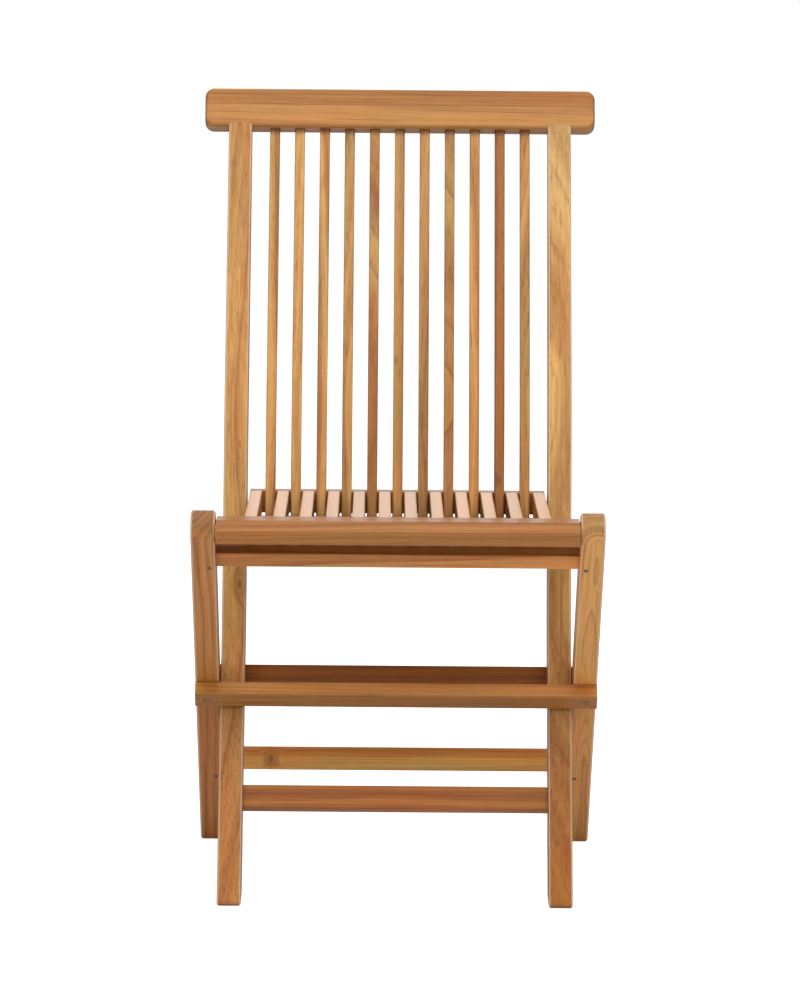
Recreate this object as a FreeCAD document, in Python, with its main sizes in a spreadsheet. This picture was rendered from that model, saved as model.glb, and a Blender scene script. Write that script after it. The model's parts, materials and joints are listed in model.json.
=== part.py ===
"""Folding teak side chair: two crossing frames and a slatted seat that is caught between the back slats.

Frame of the model: +X to the right as seen from the front, +Y to the rear, +Z up, millimetres,
origin on the floor below the middle of the chair.
Three bodies move: the back frame (stiles, back slats), the leg frame and the seat.
"""
import FreeCAD, Part
import math
import os

import Sketcher

V = FreeCAD.Vector
LEFT, RIGHT = -1, 1
X_AXIS = V(1, 0, 0)

doc = FreeCAD.newDocument("folding_chair")

# Driving sizes, in millimetres and degrees, with what each one is.
SIZES = [
    ("overall_height", 900, "floor to the top of the back"),
    ("frame_width", 470, "across the outside of the legs"),
    ("leg_width", 28, "leg, across the chair"),
    ("leg_depth", 42, "leg, front to rear face"),
    ("leg_top_radius", 20.5, "rounded top end of a leg"),
    ("leg_lean", 39.5, "leg from the vertical, leaning forward"),
    ("stile_width", 28, "back stile, across the chair"),
    ("stile_depth", 45, "back stile, front to rear face"),
    ("stile_top_depth", 25, "back stile under the top rail"),
    ("stile_lean", 31.5, "lower stile from the vertical, leaning back"),
    ("back_lean_low", 18, "stile beside the seat, from the vertical"),
    ("back_lean_high", 27, "upper back, from the vertical"),
    ("pivot_height", 222, "crossing bolt above the floor"),
    ("low_bend_rise", 80, "crossing bolt to the lower bend, along the stile"),
    ("mid_length", 258, "lower bend to the upper bend, along the stile"),
    ("low_bend_radius", 350, "front face at the lower bend"),
    ("high_bend_radius", 450, "front face at the upper bend"),
    ("frame_gap", 1, "washer between a leg and its stile"),
    ("arris", 3, "rounding of the long edges of legs and stiles"),
    ("foot_radius", 4, "rounding of the foot edges"),
    ("top_rail_length", 470, "top rail, across the chair"),
    ("top_rail_height", 49.5, "top rail, up the back"),
    ("top_rail_corner", 11, "rounded end corners of the top rail"),
    ("top_rail_edge", 5, "rounded long edges of the top rail"),
    ("back_slat_count", 11, "number of back slats"),
    ("back_slat_width", 12, "back slat, across the chair"),
    ("back_slat_depth", 12, "back slat, front to rear face"),
    ("back_slat_setback", 8, "stile front face to slat front face"),
    ("back_slat_end_space", 27.5, "stile to the middle of the first back slat"),
    ("slat_housing", 12, "depth of a slat's housing in a rail"),
    ("slat_edge", 1.8, "rounded edges of the slats"),
    ("lower_rail_height", 32, "lower back rail, up the back"),
    ("lower_rail_depth", 20, "lower back rail, front to rear"),
    ("seat_pin_reach", 301, "crossing bolt to the seat pin, along the leg"),
    ("seat_pin_forward", 9, "seat pin in front of the leg's middle line"),
    ("leg_top_reach", 295, "crossing bolt to the middle of the leg's round top"),
    ("seat_tilt", 3.9, "seat slope, down to the rear"),
    ("front_rail_depth", 54, "seat front rail, front to rear"),
    ("front_rail_height", 26, "seat front rail, up"),
    ("bevel_depth", 14, "sloping upper front of the seat front rail, front to rear"),
    ("bevel_height", 10, "sloping upper front of the seat front rail, up"),
    ("bevel_edge", 2.5, "rounding above and below that slope"),
    ("pin_from_front", 18, "seat pin behind the front rail's face"),
    ("pin_from_below", 12.4, "seat pin above the front rail's underside"),
    ("seat_slat_play", 1.9, "seat slat to the back slat on each side of it"),
    ("seat_slat_height", 26, "seat slat, up"),
    ("seat_side_gap", 3.2, "outer seat slat to the stile"),
    ("seat_back_gap", 2.5, "seat rear rail behind the back slats"),
    ("rear_rail_depth", 24, "seat rear rail, front to rear"),
    ("rear_rail_height", 26, "seat rear rail, up"),
    ("seat_end_gap", 1, "washer between the seat front rail and a leg"),
    ("seat_rest_gap", 0.3, "seat slats above the lower back rail"),
    ("apron_height", 23.5, "apron, along the legs"),
    ("apron_depth", 19, "apron, across the legs"),
    ("apron_gap", 3.4, "apron's upper rear edge below the seat front rail"),
    ("stop_bar_width", 24, "stop bars, along legs and stiles"),
    ("stop_bar_depth", 19, "stop bars, off the faces that carry them"),
    ("stop_gap", 0.2, "stop bars to the faces that they stop"),
    ("front_stretcher_height", 33, "low stretcher between the stiles, along them"),
    ("front_stretcher_depth", 20, "low stretcher between the stiles, across them"),
    ("front_stretcher_drop", 139, "crossing bolt down to the front stretcher"),
    ("rear_stretcher_height", 25, "low stretcher between the legs, along them"),
    ("rear_stretcher_depth", 18, "low stretcher between the legs, across them"),
    ("rear_stretcher_drop", 143.8, "crossing bolt down to the rear stretcher"),
    ("rear_stretcher_back", 7, "rear stretcher behind the leg's middle line"),
    ("rail_edge", 2, "rounded edges of bars and stretchers"),
    ("tenon_length", 16, "tenons in legs and stiles"),
    ("tenon_shoulder", 4, "shoulder on each side of a tenon"),
    ("slat_tenon_width", 7, "seat slat tenon, across the chair"),
    ("slat_tenon_height", 16, "seat slat tenon, up"),
    ("stile_tenon_width", 18, "stile tenon in the top rail, across the chair"),
    ("stile_tenon_depth", 12, "stile tenon in the top rail, front to rear"),
    ("stile_tenon_length", 26, "stile tenon in the top rail, up"),
    ("glue_gap", 0.1, "clearance round tenons, pegs and plugs"),
    ("bolt_diameter", 8, "crossing bolt shank"),
    ("bolt_head_diameter", 16, "crossing bolt head"),
    ("bolt_head_height", 3.5, "crossing bolt head"),
    ("nut_diameter", 15, "cap nut flange"),
    ("nut_height", 3.5, "cap nut flange"),
    ("nut_sleeve_diameter", 11, "cap nut sleeve round the bolt"),
    ("nut_sleeve_length", 12, "cap nut sleeve"),
    ("head_recess", 0.5, "heads and nuts below the wood's face"),
    ("running_gap", 0.1, "clearance of turning pins, on the radius"),
    ("washer_diameter", 20, "crossing and seat washers"),
    ("seat_pin_diameter", 7, "seat pin shank"),
    ("seat_pin_head_diameter", 13, "seat pin head"),
    ("seat_pin_depth", 26, "seat pin inside the front rail"),
    ("peg_diameter", 5.5, "pegs through the tenons"),
    ("peg_inset", 7.5, "peg from the inner face of a leg or stile"),
    ("screw_diameter", 4.5, "stop bar screw shank"),
    ("screw_head_diameter", 8.5, "stop bar screw head"),
    ("screw_head_height", 2.5, "stop bar screw head"),
    ("screw_length", 36, "stop bar screw shank"),
    ("plug_diameter", 9.5, "wooden plug over a screw"),
    ("plug_depth", 6, "wooden plug over a screw"),
]

sheet = doc.addObject("Spreadsheet::Sheet", "Sizes")
for row, (alias, value, note) in enumerate(SIZES, start=1):
    sheet.set(f"A{row}", note)
    sheet.set(f"B{row}", str(value))
    sheet.setAlias(f"B{row}", alias)
doc.recompute()

# Places worked out from the driving sizes. Side-view places are measured from the crossing bolt:
# "along" runs up a member and "off" runs from its middle line to its rear face.
PLACES = [
    ("leg_x", "(Sizes.frame_width - Sizes.leg_width) / 2"),
    ("leg_inner", "Sizes.frame_width / 2 - Sizes.leg_width"),
    ("stile_outer", "leg_inner - Sizes.frame_gap"),
    ("stile_x", "stile_outer - Sizes.stile_width / 2"),
    ("stile_inner", "stile_outer - Sizes.stile_width"),
    ("low_turn", "Sizes.back_lean_low - Sizes.stile_lean"),
    ("high_turn", "Sizes.back_lean_high - Sizes.stile_lean"),
    ("half_high_bend", "(Sizes.back_lean_high - Sizes.back_lean_low) / 2"),
    ("high_bend_mean", "(Sizes.back_lean_high + Sizes.back_lean_low) / 2"),
    ("low_bend_y", "Sizes.low_bend_rise * sin(Sizes.stile_lean)"),
    ("low_bend_z", "Sizes.pivot_height + Sizes.low_bend_rise * cos(Sizes.stile_lean)"),
    ("high_bend_y", "low_bend_y + Sizes.mid_length * sin(Sizes.back_lean_low)"),
    ("high_bend_z", "low_bend_z + Sizes.mid_length * cos(Sizes.back_lean_low)"),
    ("high_front_off", "-Sizes.stile_depth / 2 / cos(half_high_bend)"),
    ("high_front_y", "high_bend_y + high_front_off * cos(high_bend_mean)"),
    ("high_front_z", "high_bend_z - high_front_off * sin(high_bend_mean)"),
    ("top_z", "Sizes.overall_height + Sizes.top_rail_edge"
     " * (sin(Sizes.back_lean_high) + cos(Sizes.back_lean_high) - 1)"),
    ("upper_length", "(top_z - high_front_z) / cos(Sizes.back_lean_high)"),
    ("top_y", "high_front_y + upper_length * sin(Sizes.back_lean_high)"),
    # The stile's rear face above the upper bend runs in to stile_top_depth under the top rail.
    ("taper_run", "upper_length - Sizes.top_rail_height + Sizes.top_rail_edge"
     " - Sizes.stile_depth * tan(half_high_bend)"),
    ("taper_angle", "atan((Sizes.stile_depth - Sizes.stile_top_depth) / taper_run) / 1 deg"),
    ("slat_front_off", "Sizes.back_slat_setback - Sizes.stile_depth / 2"),
    ("slat_rear_off", "slat_front_off + Sizes.back_slat_depth"),
    ("slat_middle_off", "slat_front_off + Sizes.back_slat_depth / 2"),
    ("slat_pitch", "2 * (stile_inner - Sizes.back_slat_end_space) / (Sizes.back_slat_count - 1)"),
    ("seat_pin_y", "-Sizes.seat_pin_reach * sin(Sizes.leg_lean)"
     " - Sizes.seat_pin_forward * cos(Sizes.leg_lean)"),
    ("seat_pin_z", "Sizes.pivot_height + Sizes.seat_pin_reach * cos(Sizes.leg_lean)"
     " - Sizes.seat_pin_forward * sin(Sizes.leg_lean)"),
    ("under_seat_angle", "Sizes.leg_lean + Sizes.seat_tilt"),
    ("apron_reach", "Sizes.seat_pin_reach - Sizes.apron_height / 2 - (Sizes.apron_gap + Sizes.pin_from_below"
     " + (Sizes.apron_depth / 2 + Sizes.seat_pin_forward) * sin(under_seat_angle)) / cos(under_seat_angle)"),
    ("seat_top", "Sizes.front_rail_height - Sizes.pin_from_below"),
    ("slat_under", "seat_top - Sizes.seat_slat_height"),
    # The seat's rear rail stands seat_back_gap behind the rear faces of the back slats.
    ("slat_turn", "Sizes.back_lean_low - Sizes.seat_tilt"),
    ("slat_rear_y", "low_bend_y + slat_rear_off * cos(Sizes.back_lean_low) - seat_pin_y"),
    ("slat_rear_z", "low_bend_z - slat_rear_off * sin(Sizes.back_lean_low) - seat_pin_z"),
    ("seat_reach", "slat_rear_y * cos(Sizes.seat_tilt) - slat_rear_z * sin(Sizes.seat_tilt)"
     " + (seat_top - slat_rear_y * sin(Sizes.seat_tilt) - slat_rear_z * cos(Sizes.seat_tilt))"
     " * tan(slat_turn) + Sizes.seat_back_gap"),
    ("slat_length", "seat_reach - Sizes.front_rail_depth + Sizes.pin_from_front"),
    ("slat_middle", "Sizes.front_rail_depth - Sizes.pin_from_front + slat_length / 2"),
    ("seat_slat_width", "slat_pitch - Sizes.back_slat_width - 2 * Sizes.seat_slat_play"),
    ("outer_seat_slat", "stile_inner - Sizes.seat_side_gap - seat_slat_width / 2"),
    # The lower back rail's top front corner lies seat_rest_gap below the underside of the seat slats.
    ("lower_front_off", "slat_middle_off - Sizes.lower_rail_depth / 2"),
    ("lower_corner_y", "low_bend_y + lower_front_off * cos(Sizes.back_lean_low)"),
    ("lower_corner_z", "low_bend_z - lower_front_off * sin(Sizes.back_lean_low)"),
    ("rest_height", "(seat_pin_z - lower_corner_z) * cos(Sizes.seat_tilt)"
     " - (lower_corner_y - seat_pin_y) * sin(Sizes.seat_tilt) + slat_under - Sizes.seat_rest_gap"),
    ("lower_rail_rise", "rest_height / cos(slat_turn)"),
    ("cross_angle", "Sizes.leg_lean + Sizes.stile_lean"),
    ("front_stop_along", "(Sizes.stile_depth / 2 + Sizes.stop_gap - Sizes.leg_depth / 2 * cos(cross_angle))"
     " / sin(cross_angle)"),
    ("rear_stop_along", "(Sizes.leg_depth / 2 + Sizes.stop_gap - Sizes.stile_depth / 2 * cos(cross_angle))"
     " / sin(cross_angle)"),
    # The chair's front and rear, from the rounded corners that reach furthest.
    ("front_reach", "seat_pin_y - (Sizes.pin_from_front - Sizes.rail_edge) * cos(Sizes.seat_tilt)"
     " - (Sizes.pin_from_below - Sizes.rail_edge) * sin(Sizes.seat_tilt) - Sizes.rail_edge"),
    ("rear_reach", "top_y + (Sizes.stile_top_depth - Sizes.top_rail_edge) * cos(Sizes.back_lean_high)"
     " - Sizes.top_rail_edge * sin(Sizes.back_lean_high) + Sizes.top_rail_edge"),
    ("pivot_y", "-(front_reach + rear_reach) / 2"),
]

places = doc.addObject("Spreadsheet::Sheet", "Places")
for row, (alias, formula) in enumerate(PLACES, start=1):
    places.set(f"A{row}", alias.replace("_", " "))
    places.set(f"B{row}", "=" + formula)
    places.setAlias(f"B{row}", alias)
doc.recompute()


def work_out(expression):
    """Value of an expression over the two sheets."""
    result = places.evalExpression(expression)
    return float(getattr(result, "Value", result))


def own_plane(body, role):
    """One of the body's own origin planes."""
    for feature in body.Origin.OriginFeatures:
        if feature.Role == role:
            return feature
    raise ValueError(role)


def new_body(name):
    """A body whose label is the sub-part's name."""
    body = doc.addObject("PartDesign::Body", name)
    body.Label = name
    return body


def bind(obj, path, expression):
    """Tie one property to an expression over the sheets."""
    obj.setExpression(path, expression)


def sketch_on(body, name, role, lift="0"):
    """A sketch on one of the body's origin planes, lifted along the plane's normal."""
    sketch = body.newObject("Sketcher::SketchObject", name)
    sketch.AttachmentSupport = [(own_plane(body, role), "")]
    sketch.MapMode = "FlatFace"
    if lift != "0":
        bind(sketch, "AttachmentOffset.Base.z", lift)
    return sketch


def fix_point(sketch, geometry, position, axis, expression):
    """Fix one coordinate of a point to an expression, or to the axis where it is nought."""
    if expression == "0":
        on_axis = -2 if axis == "DistanceX" else -1
        sketch.addConstraint(Sketcher.Constraint("PointOnObject", geometry, position, on_axis))
        return
    number = sketch.addConstraint(
        Sketcher.Constraint(axis, -1, 1, geometry, position, work_out(expression)))
    bind(sketch, f"Constraints[{number}]", expression)


def arc_between(start, following, radius, meeting):
    """An arc whose end tangents meet at a point, drawn anticlockwise, and its ends in the outline's order."""
    chord = following - start
    chord_middle = start + chord / 2
    rise = radius - math.sqrt(radius ** 2 - (chord.Length / 2) ** 2)
    crest = chord_middle + (meeting - chord_middle).normalize() * rise
    if chord.cross(meeting - start).z < 0:
        return Part.Arc(start, crest, following), (1, 2)
    return Part.Arc(following, crest, start), (2, 1)


def polygon(sketch, corners):
    """A closed outline whose corners are pairs of expressions.

    Where a corner also has a radius and the point at which tangents meet, an arc runs to the next corner.
    """
    first = sketch.GeometryCount
    points = [V(work_out(corner[0]), work_out(corner[1]), 0) for corner in corners]
    ends = []
    for index, corner in enumerate(corners):
        start, following = points[index], points[(index + 1) % len(points)]
        if len(corner) == 2:
            side, order = Part.LineSegment(start, following), (1, 2)
        else:
            meeting = V(work_out(corner[3][0]), work_out(corner[3][1]), 0)
            side, order = arc_between(start, following, work_out(corner[2]), meeting)
        sketch.addGeometry(side, False)
        ends.append(order)
    for index, corner in enumerate(corners):
        side, (start, end) = first + index, ends[index]
        following = (index + 1) % len(corners)
        sketch.addConstraint(
            Sketcher.Constraint("Coincident", side, end, first + following, ends[following][0]))
        fix_point(sketch, side, start, "DistanceX", corner[0])
        fix_point(sketch, side, start, "DistanceY", corner[1])
        if len(corner) > 2:
            number = sketch.addConstraint(Sketcher.Constraint("Radius", side, work_out(corner[2])))
            bind(sketch, f"Constraints[{number}]", corner[2])
    return sketch


def bend(corner, below, above, radius, rising=True):
    """An arc in place of a corner, from the turns of the stretches below and above it.

    Its two ends come in the outline's order, which goes up the rear side and down the front side.
    """
    reach = f"({radius}) * abs(tan((({above}) - ({below})) / 2))"
    lower = (f"{corner[0]} - {reach} * sin({below})", f"{corner[1]} - {reach} * cos({below})")
    upper = (f"{corner[0]} + {reach} * sin({above})", f"{corner[1]} + {reach} * cos({above})")
    first, second = (lower, upper) if rising else (upper, lower)
    return [(*first, radius, corner), second]


def rectangle(sketch, low, high):
    """A rectangle between two corners, each a pair of expressions."""
    return polygon(sketch, [low, (high[0], low[1]), high, (low[0], high[1])])


def disc(sketch, centre, diameter):
    """A circle; its centre is a pair of expressions."""
    middle_point = V(work_out(centre[0]), work_out(centre[1]), 0)
    index = sketch.addGeometry(Part.Circle(middle_point, V(0, 0, 1), work_out(diameter) / 2), False)
    number = sketch.addConstraint(Sketcher.Constraint("Diameter", index, work_out(diameter)))
    bind(sketch, f"Constraints[{number}]", diameter)
    fix_point(sketch, index, 3, "DistanceX", centre[0])
    fix_point(sketch, index, 3, "DistanceY", centre[1])
    return sketch


def pad(body, sketch, length, name):
    """Add material on both sides of the sketch, half of the length each way."""
    feature = body.newObject("PartDesign::Pad", name)
    feature.Profile = sketch
    feature.Midplane = True
    bind(feature, "Length", length)
    doc.recompute()
    return feature


def pocket(body, sketch, length, name, along_normal=False, midplane=False):
    """Remove material against the sketch's normal, along it or both ways, and see that something went."""
    before = body.Shape.Volume
    feature = body.newObject("PartDesign::Pocket", name)
    feature.Profile = sketch
    feature.Midplane = midplane
    feature.Reversed = along_normal
    bind(feature, "Length", length)
    doc.recompute()
    if body.Shape.Volume >= before:
        raise ValueError(f"{name} in {body.Label} cuts nothing")
    return feature


def round_edges(body, radius, name, chosen):
    """Fillet those edges of the body's tip that the test picks."""
    tip = body.Tip
    names = [f"Edge{number}" for number, edge in enumerate(tip.Shape.Edges, start=1) if chosen(edge)]
    feature = body.newObject("PartDesign::Fillet", name)
    feature.Base = (tip, names)
    feature.UseAllEdges = False
    bind(feature, "Radius", radius)
    doc.recompute()
    return feature


def middle(edge):
    """Point halfway along an edge."""
    return edge.valueAt((edge.FirstParameter + edge.LastParameter) / 2)


def runs_along(edge, axis):
    """True for a straight edge along one of the body's axes."""
    start, end = edge.Vertexes[0].Point, edge.Vertexes[-1].Point
    run = end - start
    return run.Length > 0.01 and abs(abs(run.dot(axis)) - run.Length) < 0.001


def at_x(edge, value):
    """True for an edge that lies in the plane across the body at this X."""
    return all(abs(vertex.Point.x - value) < 0.01 for vertex in edge.Vertexes)


def place(obj, across, rear, up, turn="0"):
    """Put a sub-part at a place, turned about X; side-view places are taken from the crossing bolt."""
    obj.Placement = FreeCAD.Placement(V(0, 0, 0), FreeCAD.Rotation(X_AXIS, work_out(turn)))
    bind(obj, "Placement.Rotation.Angle", turn)
    bind(obj, "Placement.Base.x", across)
    bind(obj, "Placement.Base.y", f"Places.pivot_y + ({rear})")
    bind(obj, "Placement.Base.z", up)


def side_places(prefix_y, prefix_z, lean, along, off):
    """Expressions for a side-view place that lies along and off a member leaning back by lean."""
    rear = f"{prefix_y} + ({along}) * sin({lean}) + ({off}) * cos({lean})"
    up = f"{prefix_z} + ({along}) * cos({lean}) - ({off}) * sin({lean})"
    return rear, up


LEG_LEAN = "-Sizes.leg_lean"
STILE_LEAN = "Sizes.stile_lean"
CROSSING = ("0", "Sizes.pivot_height")
APRON_PEG_LENGTH = "(Sizes.leg_depth + Sizes.apron_depth) / 2"
STRETCHER_PEG_LENGTH = "((Sizes.leg_depth + Sizes.rear_stretcher_depth) / 2 + Sizes.rear_stretcher_back - 1)"


def foot_along(off, lean):
    """Where a member's line at this offset meets the floor, along the member from the crossing bolt."""
    return f"-(Sizes.pivot_height - ({off}) * sin({lean})) / cos({lean})"


def bend_point(centre_along, centre_off, mean_turn, half_bend, off):
    """A corner of a bent member: the offset lines on both sides of a bend meet there."""
    across = f"({centre_off}) + ({off}) / cos({half_bend}) * cos({mean_turn})"
    up = f"({centre_along}) - ({off}) / cos({half_bend}) * sin({mean_turn})"
    return across, up


def low_bend(off):
    """Corner at the lower bend, in the stile's own axes."""
    return bend_point("Sizes.low_bend_rise", "0", "Places.low_turn / 2", "Places.low_turn / 2", off)


def high_bend(off):
    """Corner at the upper bend, in the stile's own axes."""
    along = "Sizes.low_bend_rise + Sizes.mid_length * cos(Places.low_turn)"
    across = "Sizes.mid_length * sin(Places.low_turn)"
    mean_turn = "((Places.low_turn + Places.high_turn) / 2)"
    return bend_point(along, across, mean_turn, "Places.half_high_bend", off)


def upper_point(down, behind_front):
    """A point of the upper back: down from its top and behind the stile's front face."""
    front = high_bend("-Sizes.stile_depth / 2")
    run = f"(Places.upper_length - ({down}))"
    across = f"{front[0]} + {run} * sin(Places.high_turn) + ({behind_front}) * cos(Places.high_turn)"
    up = f"{front[1]} + {run} * cos(Places.high_turn) - ({behind_front}) * sin(Places.high_turn)"
    return across, up


def mid_point(rise, off):
    """A point of the stile's middle stretch: up from the lower bend and off the middle line."""
    across = f"({rise}) * sin(Places.low_turn) + ({off}) * cos(Places.low_turn)"
    up = f"Sizes.low_bend_rise + ({rise}) * cos(Places.low_turn) - ({off}) * sin(Places.low_turn)"
    return across, up


def tenon_half(size):
    """Half of a tenon's side, from the side of its rail."""
    return f"({size} / 2 - Sizes.tenon_shoulder)"


def tenon_mortise(body, name, side, half_width, off, along, depth, height, turn="0"):
    """A blind mortise in the inner face of a leg or stile, for the tenon of a rail of this section."""
    sketch = sketch_on(body, f"{name}_outline", "YZ_Plane", f"{-side} * {half_width}")
    bind(sketch, "AttachmentOffset.Base.x", off)
    bind(sketch, "AttachmentOffset.Base.y", along)
    bind(sketch, "AttachmentOffset.Rotation.Angle", turn)
    half_depth = f"{tenon_half(depth)} + Sizes.glue_gap"
    half_height = f"{tenon_half(height)} + Sizes.glue_gap"
    rectangle(sketch, (f"-({half_depth})", f"-({half_height})"), (half_depth, half_height))
    pocket(body, sketch, "Sizes.tenon_length + Sizes.glue_gap", name, along_normal=side > 0)


def build_leg(name, side):
    """A leg, square in section, with a round top, floor-cut foot, mortises and bores."""
    body = new_body(name)
    half = "Sizes.leg_depth / 2"
    top = f"Sizes.leg_top_reach + {half}"
    outline = polygon(sketch_on(body, f"{name}_outline", "YZ_Plane"), [
        (f"-{half}", foot_along(f"-{half}", LEG_LEAN)),
        (half, foot_along(half, LEG_LEAN)),
        (half, top),
        (f"-{half}", top),
    ])
    pad(body, outline, "Sizes.leg_width", f"{name}_bar")
    top_value = work_out(top)
    foot_value = max(work_out(foot_along(off, LEG_LEAN)) for off in (f"-{half}", half))
    round_edges(body, "min(Sizes.leg_top_radius; Sizes.leg_depth / 2 - 0.2)", f"{name}_top",
                lambda edge: runs_along(edge, X_AXIS) and middle(edge).z > top_value - 1)
    round_edges(body, "Sizes.foot_radius", f"{name}_foot",
                lambda edge: runs_along(edge, X_AXIS) and middle(edge).z < foot_value + 1)
    half_width = work_out("Sizes.leg_width / 2")
    round_edges(body, "Sizes.arris", f"{name}_edges",
                lambda edge: at_x(edge, half_width) or at_x(edge, -half_width))
    tenon_mortise(body, f"{name}_apron_mortise", side, "Sizes.leg_width / 2", "0", "Places.apron_reach",
                  "Sizes.apron_depth", "Sizes.apron_height")
    tenon_mortise(body, f"{name}_stretcher_mortise", side, "Sizes.leg_width / 2", "Sizes.rear_stretcher_back",
                  "-Sizes.rear_stretcher_drop", "Sizes.rear_stretcher_depth", "Sizes.rear_stretcher_height")
    bores = sketch_on(body, f"{name}_bore_outline", "YZ_Plane")
    disc(bores, ("0", "0"), "Sizes.bolt_diameter")
    disc(bores, ("-Sizes.seat_pin_forward", "Sizes.seat_pin_reach"), "Sizes.seat_pin_diameter")
    pocket(body, bores, "Sizes.leg_width + 2", f"{name}_bores", midplane=True)
    recess(body, f"{name}_bolt_recess", side, "Sizes.leg_width / 2", ("0", "0"),
           "Sizes.bolt_head_diameter + 2 * Sizes.glue_gap", "Sizes.bolt_head_height + Sizes.head_recess")
    recess(body, f"{name}_pin_recess", side, "Sizes.leg_width / 2",
           ("-Sizes.seat_pin_forward", "Sizes.seat_pin_reach"),
           "Sizes.seat_pin_head_diameter + 2 * Sizes.glue_gap", "Sizes.bolt_head_height + Sizes.head_recess")
    face_bore(body, f"{name}_screw_bore", "-Sizes.leg_depth / 2", "0",
              "Places.front_stop_along + Sizes.stop_bar_width / 2", "Sizes.screw_diameter",
              "Sizes.screw_length", from_rear=False)
    peg_x = f"{-side} * (Sizes.leg_width / 2 - Sizes.peg_inset)"
    peg_bore = "Sizes.peg_diameter + 2 * Sizes.glue_gap"
    face_bore(body, f"{name}_apron_peg_bore", "-Sizes.leg_depth / 2", peg_x, "Places.apron_reach", peg_bore,
              f"{APRON_PEG_LENGTH} + Sizes.glue_gap", from_rear=False)
    face_bore(body, f"{name}_stretcher_peg_bore", "-Sizes.leg_depth / 2", peg_x, "-Sizes.rear_stretcher_drop",
              peg_bore, f"{STRETCHER_PEG_LENGTH} + Sizes.glue_gap", from_rear=False)
    place(body, f"{side} * Places.leg_x", *CROSSING, turn="Sizes.leg_lean")
    return body


def recess(body, name, side, half_width, centre, diameter, depth, inner=False):
    """A flat-bottomed round recess in the outer face of a leg, or in the inner face."""
    facing = -side if inner else side
    sketch = sketch_on(body, f"{name}_outline", "YZ_Plane", f"{facing} * {half_width}")
    disc(sketch, centre, diameter)
    pocket(body, sketch, depth, name, along_normal=facing < 0)


def face_bore(body, name, face_off, across, along, diameter, depth, from_rear):
    """A blind bore square to the front or rear face of a member."""
    sketch = sketch_on(body, f"{name}_outline", "XZ_Plane", f"-({face_off})")
    disc(sketch, (across, along), diameter)
    pocket(body, sketch, depth, name, along_normal=from_rear)


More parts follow.
